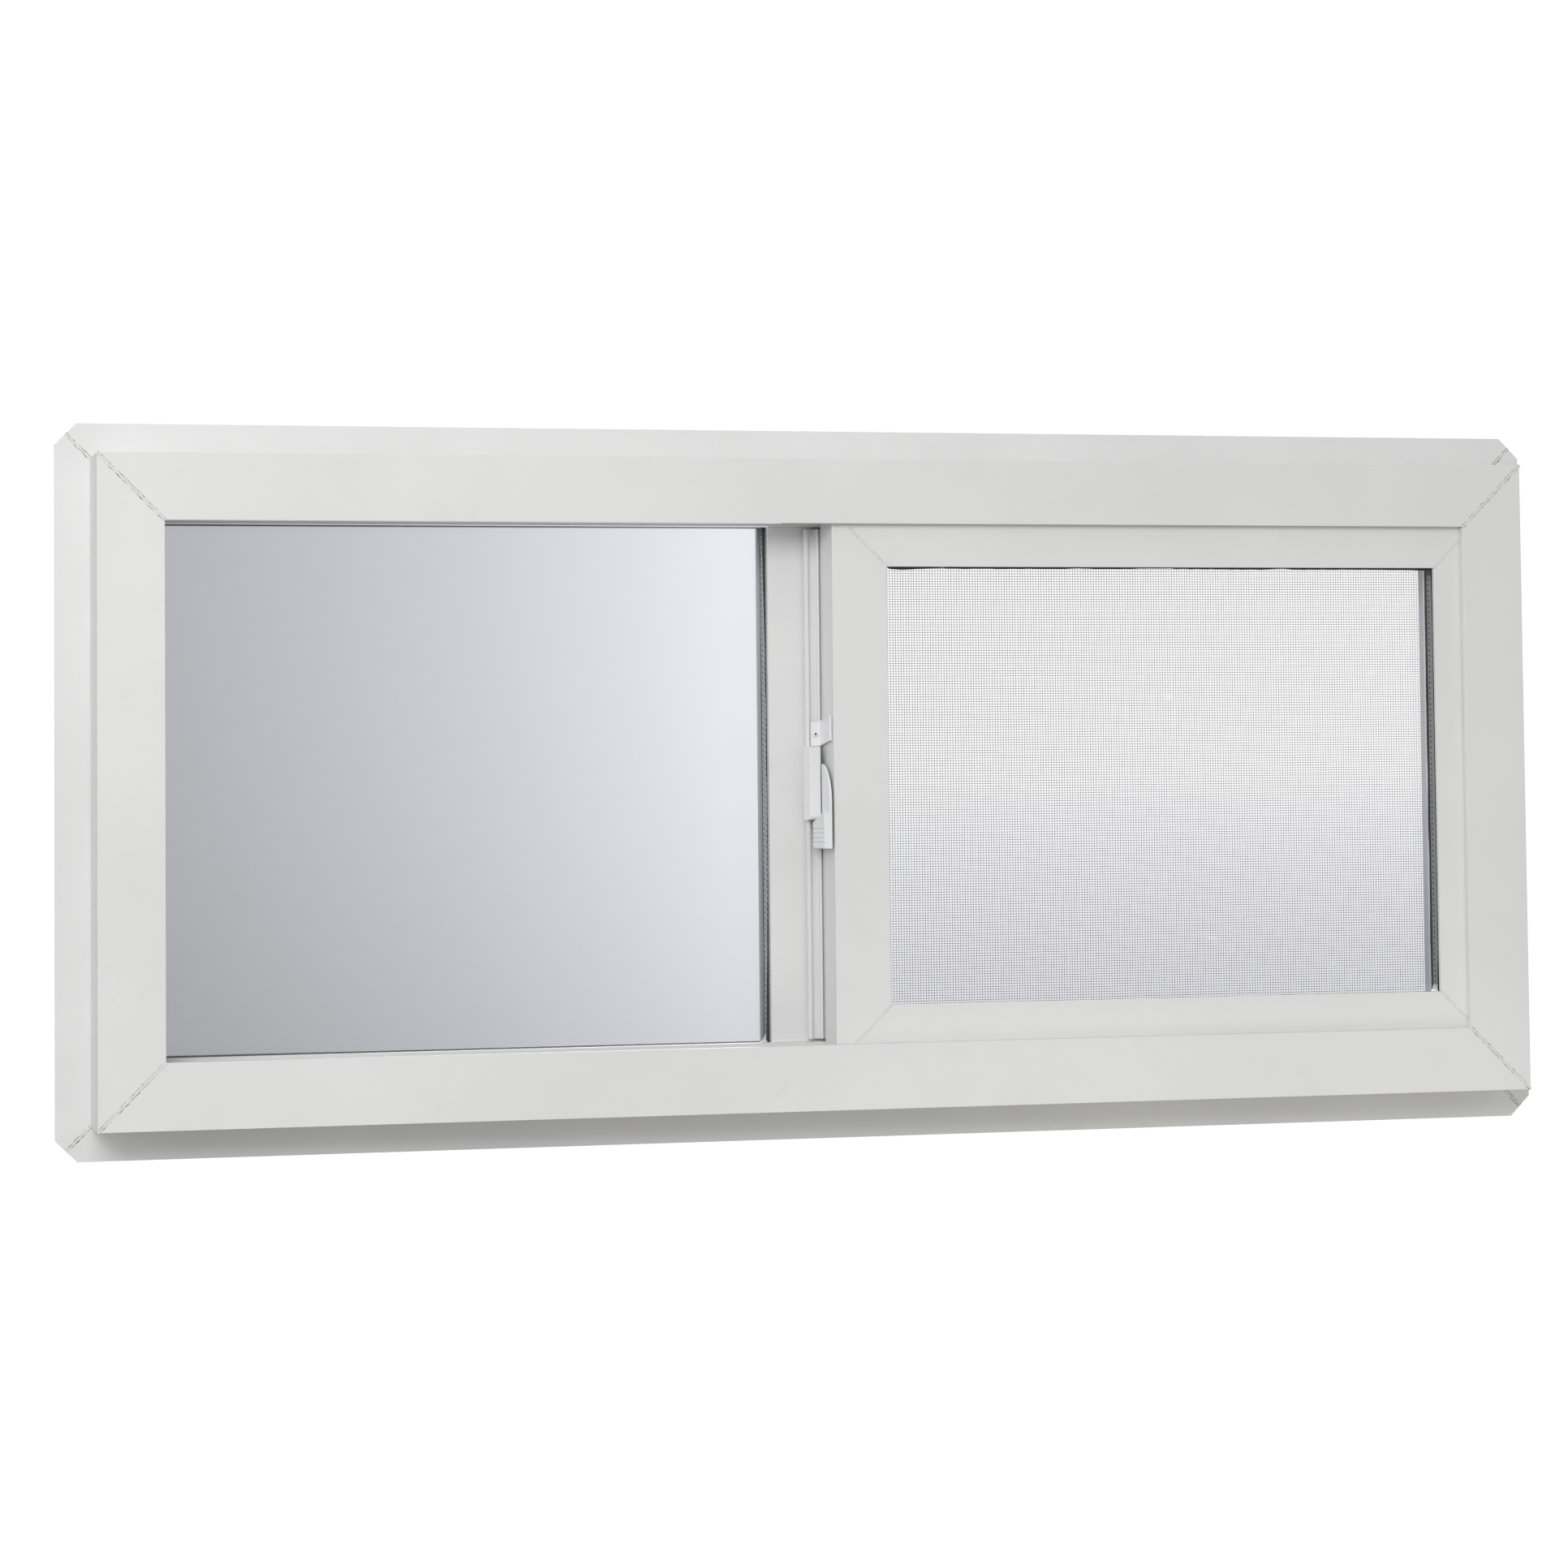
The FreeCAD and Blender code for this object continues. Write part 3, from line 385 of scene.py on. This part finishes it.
def thread_coat():
    """Charcoal coating on the threads of the insect mesh, with painted light: paler towards the upper
    right, darkest at the bottom.
    """
    s = Shader("mesh_thread")
    place = s.split(s.place)
    up = s.stretch(place["Z"], 0.06, 0.25)
    across = s.stretch(place["X"], 0.05, 0.33)
    # Painted light: the threads get paler to the right and upwards
    upper = s.mix(across, (0.08, 0.05, 0.11), (0.38, 0.35, 0.43))
    colour = s.mix(s.ramp(up, [(0.0, BLACK), (0.6, WHITE)]), (0.03, 0.02, 0.045), upper)
    return s.plain(Base_Color=colour, Roughness=0.45)


# Geometry helpers

def new_piece(name, points, faces, material, smooth=False, extra=()):
    """A mesh piece that rides on the window. Further materials follow in extra."""
    mesh = bpy.data.meshes.new(name)
    mesh.from_pydata([tuple(p) for p in points], [], faces)
    piece = bpy.data.objects.new(name, mesh)
    bpy.context.collection.objects.link(piece)
    for item in (material, *extra):
        mesh.materials.append(item)
    if smooth:
        mesh.polygons.foreach_set("use_smooth", [True] * len(mesh.polygons))
    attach(piece, "root")
    return piece


def sweep(sections, closed=False):
    """Points and faces of a skin through equal closed sections."""
    count = len(sections[0])
    points = [p for section in sections for p in section]
    faces = []
    last = len(sections) if closed else len(sections) - 1
    for i in range(last):
        j = (i + 1) % len(sections)
        for k in range(count):
            n = (k + 1) % count
            faces.append((i * count + k, i * count + n, j * count + n, j * count + k))
    if not closed:
        faces.append(tuple(reversed(range(count))))
        faces.append(tuple(range((len(sections) - 1) * count, len(sections) * count)))
    return points, faces


class Batch:
    """Collects many small shapes into one joined mesh."""

    def __init__(self):
        self.points = []
        self.faces = []
        self.kinds = []

    def add(self, points, faces, kind=0):
        start = len(self.points)
        self.points.extend(points)
        self.faces.extend(tuple(start + i for i in face) for face in faces)
        self.kinds.extend([kind] * len(faces))

    def piece(self, name, material, slot, smooth=False, extra=()):
        made = new_piece(name, self.points, self.faces, material, smooth, extra)
        made.data.polygons.foreach_set("material_index", self.kinds)
        return made


SAME_POINT = 0.01 * MM
FLAT_ANGLE = math.radians(0.3)
SHARP_ANGLE = math.radians(35)


def soften(piece, width):
    """Rounds the sharp edges of a rigid piece, as dies and moulds do."""
    weld = piece.modifiers.new("join_corners", "WELD")
    weld.merge_threshold = SAME_POINT
    flat = piece.modifiers.new("join_flat_faces", "DECIMATE")
    flat.decimate_type = "DISSOLVE"
    flat.angle_limit = FLAT_ANGLE
    bevel = piece.modifiers.new("round_edges", "BEVEL")
    bevel.width = width
    bevel.segments = 2
    bevel.limit_method = "ANGLE"
    bevel.angle_limit = SHARP_ANGLE
    bevel.use_clamp_overlap = True
    normals = piece.modifiers.new("flat_faces", "WEIGHTED_NORMAL")
    normals.keep_sharp = False


# The dressed CAD pieces

WIDE_EDGE = 0.3 * MM
LATCH_EDGE = 0.25 * MM
FINE_EDGE = 0.2 * MM
SPACER_TONES = {"fixed": (0.60, 0.605, 0.61), "sash": (0.42, 0.425, 0.43)}

# Wipe marks on the sash's room-side pane: x, z, half width, half height, turn
SMEARS = (
    (0.1925, 0.2335, 0.007, 0.003, 0.7),
    (0.1925, 0.2335, 0.007, 0.003, -0.8),
    (0.2160, 0.0985, 0.006, 0.002, 0.1),
    (0.3150, 0.2470, 0.009, 0.003, -0.6),
    (0.3060, 0.2340, 0.008, 0.002, -0.7),
)


def dress(node, material, edge=None):
    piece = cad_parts[node]
    for slot_index in range(max(1, len(piece.material_slots))):
        if not piece.material_slots:
            piece.data.materials.append(material)
        piece.material_slots[slot_index].material = material
    if edge:
        soften(piece, edge)


def dress_nodes():
    along_x = vinyl("vinyl_across", 0)
    along_z = vinyl("vinyl_upright", 2)
    bead_x = vinyl("bead_across", 0, BEAD_VINYL, BEAD_ROUGHNESS)
    bead_z = vinyl("bead_upright", 2, BEAD_VINYL, BEAD_ROUGHNESS)
    for node in ("frame_sill", "sash_top_rail", "sash_bottom_rail"):
        dress(node, along_x, WIDE_EDGE)
    # The head's faces that look down over the fixed unit get a painted glow for light from the pane
    lit_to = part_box("fixed_meeting_stile")[0].x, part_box("fixed_glass_outer")[0].y
    dress("frame_head", vinyl("vinyl_head", 0, lit_to=lit_to), WIDE_EDGE)
    for node in ("frame_jamb_left", "frame_jamb_right", "fixed_meeting_stile", "sash_pull_stile",
                 "sash_meeting_stile"):
        dress(node, along_z, WIDE_EDGE)
    for group in ("fixed_bead", "sash_bead", "screen_stop"):
        for side in ("top", "bottom"):
            dress(f"{group}_{side}", bead_x, FINE_EDGE)
        for side in ("left", "right"):
            dress(f"{group}_{side}", bead_z, FINE_EDGE)
    # Two beads that the loop has softened get a painted glow for light from their panes
    dress("fixed_bead_top", vinyl("bead_lit_top", 0, BEAD_VINYL, BEAD_ROUGHNESS, (lit_to[0], BACK)))
    # The bead beside the sash glass gets a painted bluish tint and glow
    dress("sash_bead_right", lit_vinyl())
    metal = painted_metal("screen_paint", (0.84, 0.85, 0.89))
    for side in ("top", "bottom", "left", "right"):
        dress(f"screen_frame_{side}", metal, FINE_EDGE)
    plastic = latch_plastic()
    for node in ("latch_bracket", "latch_housing", "latch_lever"):
        dress(node, plastic, LATCH_EDGE)
    for node in ("sash_glide_left", "sash_glide_right"):
        dress(node, nylon(), WIDE_EDGE)
    fibre = pile_fibre()
    for node in ("pile_head", "pile_sill", "pile_jamb", "pile_meeting_stile"):
        dress(node, fibre)
    seal = rubber("edge_seal", (0.035, 0.035, 0.037))
    for unit, tone in SPACER_TONES.items():
        # The fixed unit's spacer gets a painted glow on its underside for light from the pane
        lit = lit_to if unit == "fixed" else None
        dress(f"{unit}_spacer", spacer_metal(f"{unit}_spacer_metal", tone, lit))
        dress(f"{unit}_edge_seal", seal)
    dress("screen_spline", rubber("spline_rubber", (0.05, 0.05, 0.052), 0.6))
    dress("fixed_glass_inner", clear_glass("fixed_glass"))
    # The fixed unit's outer pane carries a painted grey-blue shade
    dress("fixed_glass_outer", shaded_glass())
    # The sash's outer pane carries a painted bluish shade towards the sill
    dress("sash_glass_outer", clear_glass("sash_glass", (0.885, 0.885, 0.91)))
    dress("sash_glass_inner", clear_glass("sash_glass_room", marks=SMEARS))


# Insect mesh: real threads at their true spacing, one warp and one weft

THREAD = 0.100 * MM  # half a thread's width
WARP_PITCH = 1.569 * MM
WEFT_PITCH = 1.447 * MM
THREAD_STEPS = 24
THREAD_SIDES = 4
DRIFT = 0.12 * MM
FINE_DRIFT = 0.02 * MM
THREAD_RISE = 0.05 * MM
WEAVE_GAP = 0.06 * MM


def thread(batch, fixed, start, end, upright, y, seed):
    """One thread, a slim square tube that wanders a little from its line."""
    sections = []
    for i in range(THREAD_STEPS + 1):
        along = start + (end - start) * i / THREAD_STEPS
        across = (fixed + DRIFT * smooth_noise(along / (60 * MM), seed * 0.05)
                  + FINE_DRIFT * smooth_noise(along / (9 * MM), seed + 3.0))
        lift = y + THREAD_RISE * smooth_noise(along / (30 * MM), seed + 90.0)
        ring = []
        for k in range(THREAD_SIDES):
            angle = math.tau * k / THREAD_SIDES
            du, dy = THREAD * math.cos(angle), THREAD * math.sin(angle)
            ring.append((across + du, lift + dy, along) if upright else (along, lift + dy, across + du))
        sections.append(ring)
    batch.add(*sweep(sections))


def insect_mesh():
    low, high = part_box("screen_mesh")
    middle = (low.y + high.y) / 2
    coat = thread_coat()
    warp = Batch()
    count = int((high.x - low.x) / WARP_PITCH)
    for i in range(count):
        thread(warp, low.x + (i + 0.5) * WARP_PITCH, low.z, high.z, True, middle - WEAVE_GAP, i)
    warp = warp.piece("insect_mesh_warp", coat, "insect_mesh", smooth=True)
    weft = Batch()
    count = int((high.z - low.z) / WEFT_PITCH)
    for i in range(count):
        thread(weft, low.z + (i + 0.5) * WEFT_PITCH, low.x, high.x, False, middle + WEAVE_GAP, i + 500)
    weft.piece("insect_mesh_weft", coat, "insect_mesh", smooth=True)
    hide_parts("screen_mesh")


# Weld beads on the mitres

WELD_WIDTH = 1.35 * MM
WELD_HEIGHT = 0.05 * MM
WELD_STEP = 0.7 * MM
WELD_SLOPE = 0.22 * MM
WELD_SWAY = 0.22 * MM
SASH_WELD_WIDTH = 1.0 * MM
SASH_WELD_SWAY = 0.08 * MM
FLANGE_WELD_WIDTH = 1.1 * MM
SASH_WELD_START = 10 * MM
SUNK = 0.1 * MM
SHADE_LAP = 0.03 * MM
SHADE_LIFT = 0.015 * MM
LEAST_SHADE = 0.02


def weld_bead(batch, start, end, y, facing, seed, width, shade_width, sway=WELD_SWAY):
    """A shaved weld from start to end, both (x, z), on the plane y, with a strip of
    painted shade along each of its edges."""
    start, end = Vector((start[0], 0, start[1])), Vector((end[0], 0, end[1]))
    run = end - start
    steps = max(4, int(run.length / WELD_STEP))
    across = run.normalized().cross(Vector((0, 1, 0)))
    up = Vector((0, facing, 0))
    strip, first_edge, second_edge = [], [], []
    for i in range(steps + 1):
        centre = start + run * (i / steps) + Vector((0, y, 0))
        place = i * WELD_STEP / (4 * MM)
        left = -width / 2 + sway * smooth_noise(place, seed)
        right = width / 2 + sway * smooth_noise(place, seed + 40)
        rise = WELD_HEIGHT * (1 + 0.5 * smooth_noise(place * 3, seed + 80))
        strip.append([centre + across * left - up * SUNK, centre + across * left,
                      centre + across * (left + WELD_SLOPE) + up * rise,
                      centre + across * (right - WELD_SLOPE) + up * rise,
                      centre + across * right, centre + across * right - up * SUNK])
        edges = ((first_edge, left, -1, 11), (second_edge, right, 1, 23))
        for edge_list, place_across, side, offset in edges:
            wide = shade_width * (0.24 + 0.42 * smooth_noise(place * 1.7, seed + offset))
            shade_reach = max(LEAST_SHADE, wide) * MM
            near = centre + across * (place_across - side * SHADE_LAP)
            far = centre + across * (place_across + side * shade_reach)
            lift = up * SHADE_LIFT
            edge_list.append([near - up * SUNK, near + lift, far + lift, far - up * SUNK])
    batch.add(*sweep(strip), kind=0)
    # The strips along both edges take the painted-shade material
    batch.add(*sweep(first_edge), kind=1)
    batch.add(*sweep(second_edge), kind=1)


def mitre_welds():
    melted, edge_shade = weld_vinyl(), weld_shadow()
    # Each job: name, outline, depth, y, facing, weld width, width of the painted shade and sway
    jobs = (
        ("weld_frame_face", BODY, FACE_WIDTH, FRONT, -1, WELD_WIDTH, 1.0, WELD_SWAY),
        ("weld_sash_face", inset(SASH, SASH_WELD_START), SASH_FACE - SASH_WELD_START, SASH_FRONT, -1,
         SASH_WELD_WIDTH, 0.3, SASH_WELD_SWAY),
        ("weld_frame_outdoor", BODY, REBATE_FLOOR, BACK, 1, WELD_WIDTH, 0.7, WELD_SWAY),
    )
    for number, (name, outline, depth, y, facing, width, shade_width, sway) in enumerate(jobs):
        batch = Batch()
        for k, (outer, inner) in enumerate(zip(corners(outline), corners(inset(outline, depth)))):
            weld_bead(batch, outer, inner, y, facing, 7.0 * number + k, width, shade_width, sway)
        batch.piece(name, melted, "vinyl", extra=(edge_shade,))
    flange = inset(BODY, -FLANGE_REACH)
    sides = (("weld_flange_room", FLANGE_FRONT, -1), ("weld_flange_outdoor", FLANGE_THICK, 1))
    for name, y, facing in sides:
        batch = Batch()
        clip = FLANGE_CLIP / 2
        for k, (outer, inner) in enumerate(zip(corners(inset(flange, clip)), corners(BODY))):
            weld_bead(batch, outer, inner, y, facing, 31.0 + k + facing, FLANGE_WELD_WIDTH, 1.5)
        batch.piece(name, melted, "vinyl", extra=(edge_shade,))


# Insulated glass details: sealing compound, perforations and corner keys

COMPOUND_STEP = 3 * MM
END_RUN = 110 * MM
LEAST_REACH = 0.03 * MM
CORNER_REACH = 0.5 * MM
HIDDEN_REACH = 1.0 * MM
INNER_RISE = 0.35 * MM
OUTER_RISE = 0.5 * MM


def compound_line(batch, rectangle, y, facing, seed, show, sway, ends=(0, 0, 0, 0)):
    """A flat wavy line of sealing compound that shows by about this much inside a
    spacer or lip, with one figure for each side from the bottom on. It can widen
    towards both ends of a side."""
    sections = []
    path = []
    ring = corners(rectangle)
    for k in range(4):
        begin, stop = Vector(ring[k]), Vector(ring[(k + 1) % 4])
        steps = int((stop - begin).length / COMPOUND_STEP)
        inward = Vector((-(stop - begin).y, (stop - begin).x)).normalized()
        for i in range(steps):
            from_corner = min(i, steps - i) * COMPOUND_STEP
            path.append((begin + (stop - begin) * i / steps, inward, from_corner, show[k], ends[k]))
    total = len(path)
    for i, (point, inward, from_corner, shown, widened) in enumerate(path):
        turn = math.tau * i / total
        wave = noise.noise(Vector((math.cos(turn) * 9, math.sin(turn) * 9, seed)))
        fine = noise.noise(Vector((math.cos(turn) * 60, math.sin(turn) * 60, seed + 5)))
        reach = (shown * (1 + sway * wave + 0.3 * sway * fine)
                 + widened * max(0.0, 1 - from_corner / END_RUN) ** 2) * MM
        reach = min(reach, CORNER_REACH + from_corner)
        inner = point + inward * max(LEAST_REACH, reach)
        outer = point - inward * HIDDEN_REACH
        sections.append([(outer.x, y, outer.y), (inner.x, y, inner.y),
                         (inner.x, y + facing * INNER_RISE, inner.y),
                         (outer.x, y + facing * OUTER_RISE, outer.y)])
    batch.add(*sweep(sections, closed=True))


HOLE_PITCH = 3.1 * MM
HOLE_LENGTH = 0.5 * MM
HOLE_WIDTH = 1.0 * MM
HOLE_ROW = 2.6 * MM
HOLE_LIFT = 0.03 * MM
HOLE_DEPTH = 0.15 * MM
HOLE_SIDES = 6
HOLE_STAGGER = 0.35


def perforations(batch, rectangle, y_middle, seed):
    """Rows of small breathing holes in the spacer's cavity side."""
    rng = random.Random(seed)
    ring = corners(rectangle)
    for k in range(4):
        begin, stop = Vector(ring[k]), Vector(ring[(k + 1) % 4])
        along = (stop - begin).normalized()
        inward = Vector((-along.y, along.x))
        count = int((stop - begin).length / HOLE_PITCH)
        for i in range(2, count - 1):
            for row in (-1, 1):
                turn = i + (HOLE_STAGGER if row > 0 else 0)
                place = turn * HOLE_PITCH + rng.uniform(-0.1, 0.1) * MM
                centre = begin + along * place + inward * HOLE_LIFT
                y = y_middle + row * HOLE_ROW
                rim = []
                for n in range(HOLE_SIDES):
                    angle = math.tau * n / HOLE_SIDES
                    spot = centre + along * HOLE_LENGTH * math.cos(angle)
                    rim.append((spot.x, y + HOLE_WIDTH * math.sin(angle), spot.y))
                deep = inward * HOLE_DEPTH
                base = [(p[0] - deep.x, p[1], p[2] - deep.y) for p in rim]
                batch.add(*sweep([base, rim]))


KEY_REACH = 5.4 * MM
KEY_CREASE = 0.35 * MM
KEY_SUNK = 0.3 * MM
KEY_STEPS = 8
KEY_INSET = 0.6 * MM


def corner_key(batch, corner, inward, y_low, y_high, seed):
    """The creased turn of the spacer in one corner of the unit."""
    rng = random.Random(seed)
    behind_x = corner[0] - inward[0] * KEY_SUNK
    behind_z = corner[1] - inward[1] * KEY_SUNK
    sections = []
    for i in range(KEY_STEPS + 1):
        turn = math.pi / 2 * i / KEY_STEPS
        bow = KEY_REACH * (1 - math.sin(turn)), KEY_REACH * (1 - math.cos(turn))
        x = corner[0] + inward[0] * (bow[0] + rng.uniform(0, KEY_CREASE))
        z = corner[1] + inward[1] * (bow[1] + rng.uniform(0, KEY_CREASE))
        sections.append([(x, y_low, z), (x, y_high, z),
                         (behind_x, y_high, behind_z), (behind_x, y_low, behind_z)])
    batch.add(*sweep(sections))


# How far the compound shows in front of and behind each unit's spacer, by side from
# the bottom on, in mm, and how much it sways
FRONT_SHOW = (0.2, 0.4, 0.08, 0.3)
FRONT_ENDS = (0, 1.7, 0, 0)
FRONT_SWAY = 0.95
BACK_SHOW = {"fixed": (0.3, 0.35, 0.05, 0.6), "sash": (0.3, 1.15, 0.05, 0.6)}
BACK_SWAY = {"fixed": 0.7, "sash": 0.3}
# A black line along the sash lip's inner edge on the room pane, widest at the top
LIP_LINE_SHOW = (0.15, 0.2, 0.8, 0.3)
LIP_LINE_ENDS = (0, 0, 0.5, 0)
LIP_LINE_SWAY = 0.9
ON_GLASS = 0.02 * MM


def glass_details():
    black = rubber("sealing_compound", (0.016, 0.016, 0.017), 0.35)
    # The breathing holes are shallow pits painted near black as the shade inside them
    holes = rubber("perforation", (0.02, 0.02, 0.02), 0.9)
    key_highlight = key_highlight_metal()
    key_shade = rubber("key_painted_shade", (0.05, 0.05, 0.052), 0.4)
    for number, unit in enumerate(("fixed", "sash")):
        low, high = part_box(f"{unit}_spacer")
        cavity = (low.x, low.z, high.x, high.z)
        sight = inset(cavity, SPACER_HEIGHT)
        lines = Batch()
        compound_line(lines, sight, low.y + ON_GLASS, 1, 3.0 + number, FRONT_SHOW, FRONT_SWAY,
                      FRONT_ENDS)
        compound_line(lines, sight, high.y - ON_GLASS, -1, 8.0 + number, BACK_SHOW[unit],
                      BACK_SWAY[unit])
        lines.piece(f"{unit}_compound", black, "edge_seal")
        dots = Batch()
        perforations(dots, sight, (low.y + high.y) / 2, 5 + number)
        dots.piece(f"{unit}_perforations", holes, "spacer_metal")
        bright, dark = Batch(), Batch()
        for k, (corner, inward) in enumerate(zip(corners(sight), ((1, 1), (-1, 1), (-1, -1), (1, -1)))):
            # The lower corners get a painted highlight and the upper ones painted shade; all four are
            # the same creased spacer metal
            keys = bright if inward[1] > 0 else dark
            corner_key(keys, corner, inward, low.y + KEY_INSET, high.y - KEY_INSET, 9 * number + k)
        bright.piece(f"{unit}_keys_lower", key_highlight, "spacer_metal")
        dark.piece(f"{unit}_keys_upper", key_shade, "spacer_metal")
    pane_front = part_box("sash_glass_inner")[0].y
    lip_line = Batch()
    compound_line(lip_line, inset(SASH, SASH_FACE), pane_front - ON_GLASS, -1, 21.0, LIP_LINE_SHOW,
                  LIP_LINE_SWAY, LIP_LINE_ENDS)
    lip_line.piece("sash_glazing_line", black, "edge_seal")


# The latch bracket's screw

# The hole's place from the bracket's left and top, then the head's rings and the
# recess's as radius and rise in mm
SCREW_PLACE = (2.5 * MM, 9.75 * MM)
BRACKET_LEG = 1.5 * MM
SCREW_PROFILE = ((1.6, 0.0), (1.6, 0.45), (1.4, 0.75), (1.1, 0.9))
SCREW_RECESS = ((0.95, 0.95), (0.85, 0.3))
SCREW_SIDES = 24
CROSS_WAIST = 0.45
SCREW_EDGE = 0.08 * MM


def bracket_screw():
    """A small pan head with a cross recess over the hole in the bracket's leg."""
    low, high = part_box("latch_bracket")
    x, y, z = low.x + SCREW_PLACE[0], high.y - BRACKET_LEG, high.z - SCREW_PLACE[1]
    rings = [([radius] * SCREW_SIDES, rise) for radius, rise in SCREW_PROFILE]
    for lobe, rise in SCREW_RECESS:
        waist = (CROSS_WAIST,) * 3
        cross = (lobe, 0.8 * lobe, *waist, 0.8 * lobe)
        rings.append((cross * 4, rise))
    sections = []
    for radii, rise in rings:
        section = []
        for k, radius in enumerate(radii):
            angle = math.tau * k / SCREW_SIDES
            section.append((x + radius * MM * math.cos(angle), y - rise * MM,
                            z + radius * MM * math.sin(angle)))
        sections.append(section)
    points, faces = sweep(sections)
    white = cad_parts["latch_bracket"].material_slots[0].material
    # The cross recess is painted near black as the shade inside it
    dark = rubber("recess", (0.02, 0.02, 0.02), 0.6)
    screw = new_piece("latch_bracket_screw", points, faces, white, extra=(dark,))
    first = (len(sections) - len(SCREW_RECESS)) * SCREW_SIDES
    for face in screw.data.polygons:
        face.material_index = int(min(face.vertices) >= first)
    bevel = screw.modifiers.new("round_edges", "BEVEL")
    bevel.width = SCREW_EDGE
    bevel.limit_method = "ANGLE"


# Stage, light and camera

FLOOR_DROP = 0.55
FLOOR_SIZE = 60.0
SKY_SEEN = 1.05
SKY_ABOVE = 0.66
SKY_LEVEL = 0.465
SKY_BELOW = 0.20


def stage():
    """A plain white floor that is seen but neither lights nor mirrors in the window."""
    s = Shader("floor_paper")
    material = s.surface(s.node("ShaderNodeEmission", Color=(*WHITE, 1), Strength=SKY_SEEN))
    mesh = bpy.data.meshes.new("floor")
    half = FLOOR_SIZE / 2
    square = [(x, y, 0) for x, y in corners((-half, -half, half, half))]
    mesh.from_pydata(square, [], [(0, 1, 2, 3)])
    mesh.materials.append(material)
    floor = bpy.data.objects.new("floor", mesh)
    floor.location.z = BOX_LOW.z - FLOOR_DROP
    floor.visible_diffuse = False
    floor.visible_glossy = False
    bpy.context.collection.objects.link(floor)


def sky():
    """White surroundings, brighter to look at than the light they give."""
    world = bpy.data.worlds.new("studio")
    bpy.context.scene.world = world
    world.use_nodes = True
    nodes, links = world.node_tree.nodes, world.node_tree.links
    nodes.clear()
    output = nodes.new("ShaderNodeOutputWorld")
    light = nodes.new("ShaderNodeBackground")
    direction = nodes.new("ShaderNodeTexCoord").outputs["Generated"]
    parts = nodes.new("ShaderNodeSeparateXYZ")
    links.new(direction, parts.inputs[0])
    height = nodes.new("ShaderNodeMapRange")
    height.inputs["From Min"].default_value = -1
    links.new(parts.outputs["Z"], height.inputs["Value"])
    ramp = nodes.new("ShaderNodeValToRGB")
    ramp.color_ramp.elements.new(0.5)
    for element, level in zip(ramp.color_ramp.elements, (SKY_BELOW, SKY_LEVEL, SKY_ABOVE)):
        element.color = (level, level, level, 1)
    links.new(height.outputs["Result"], ramp.inputs["Fac"])
    seen = nodes.new("ShaderNodeBackground")
    seen.inputs["Strength"].default_value = SKY_SEEN
    seen.inputs["Color"].default_value = (*WHITE, 1)
    links.new(ramp.outputs["Color"], light.inputs["Color"])
    path = nodes.new("ShaderNodeLightPath")
    mix = nodes.new("ShaderNodeMixShader")
    links.new(path.outputs["Is Camera Ray"], mix.inputs["Fac"])
    links.new(light.outputs[0], mix.inputs[1])
    links.new(seen.outputs[0], mix.inputs[2])
    links.new(mix.outputs[0], output.inputs["Surface"])


# Name, place, size, watts, colour and whether the panes may mirror it
SOFTBOXES = (
    ("key_softbox", (-0.92, -1.9, 0.94), (1.2, 0.8), 20.0, WHITE, True),
    ("side_softbox", (-2.0, -1.3, 0.35), (0.8, 0.8), 5.3, WHITE, False),
    ("back_softbox", (0.7, 2.3, 1.0), (1.4, 1.0), 26.0, WHITE, True),
    ("fill_softbox", (0.38, -0.5, -0.42), (0.5, 0.4), 1.0, (1.0, 0.985, 0.86), False),
)
LIT_PLACE = Vector((0, 0, 0.19))


def softbox(name, place, size, watts, colour, mirrored):
    light = bpy.data.lights.new(name, "AREA")
    light.shape = "RECTANGLE"
    light.size, light.size_y = size
    light.energy = watts
    light.color = colour
    lamp = bpy.data.objects.new(name, light)
    lamp.location = place
    lamp.rotation_euler = (LIT_PLACE - Vector(place)).to_track_quat("-Z", "Y").to_euler()
    lamp.visible_glossy = mirrored
    bpy.context.collection.objects.link(lamp)


# The camera stands left of the window, level with its middle, and looks slightly up
CAMERA_PLACE = (-0.58561, -2.22338, 0.19368)
CAMERA_TURN = (92.8187, 0.5675, -14.2444)
CAMERA_LENS = 94.66
CAMERA_SHIFT = (-0.00072, -0.13720)


def camera():
    data = bpy.data.cameras.new("camera")
    data.sensor_width = 36
    data.lens = CAMERA_LENS
    data.shift_x, data.shift_y = CAMERA_SHIFT
    data.clip_start = 0.05
    data.clip_end = 200
    made = bpy.data.objects.new("camera", data)
    made.location = CAMERA_PLACE
    made.rotation_euler = Euler([math.radians(turn) for turn in CAMERA_TURN])
    bpy.context.collection.objects.link(made)
    bpy.context.scene.camera = made
    bpy.context.scene.view_settings.view_transform = "Standard"


dress_nodes()
insect_mesh()
mitre_welds()
glass_details()
bracket_screw()
stage()
sky()
for settings in SOFTBOXES:
    softbox(*settings)
camera()
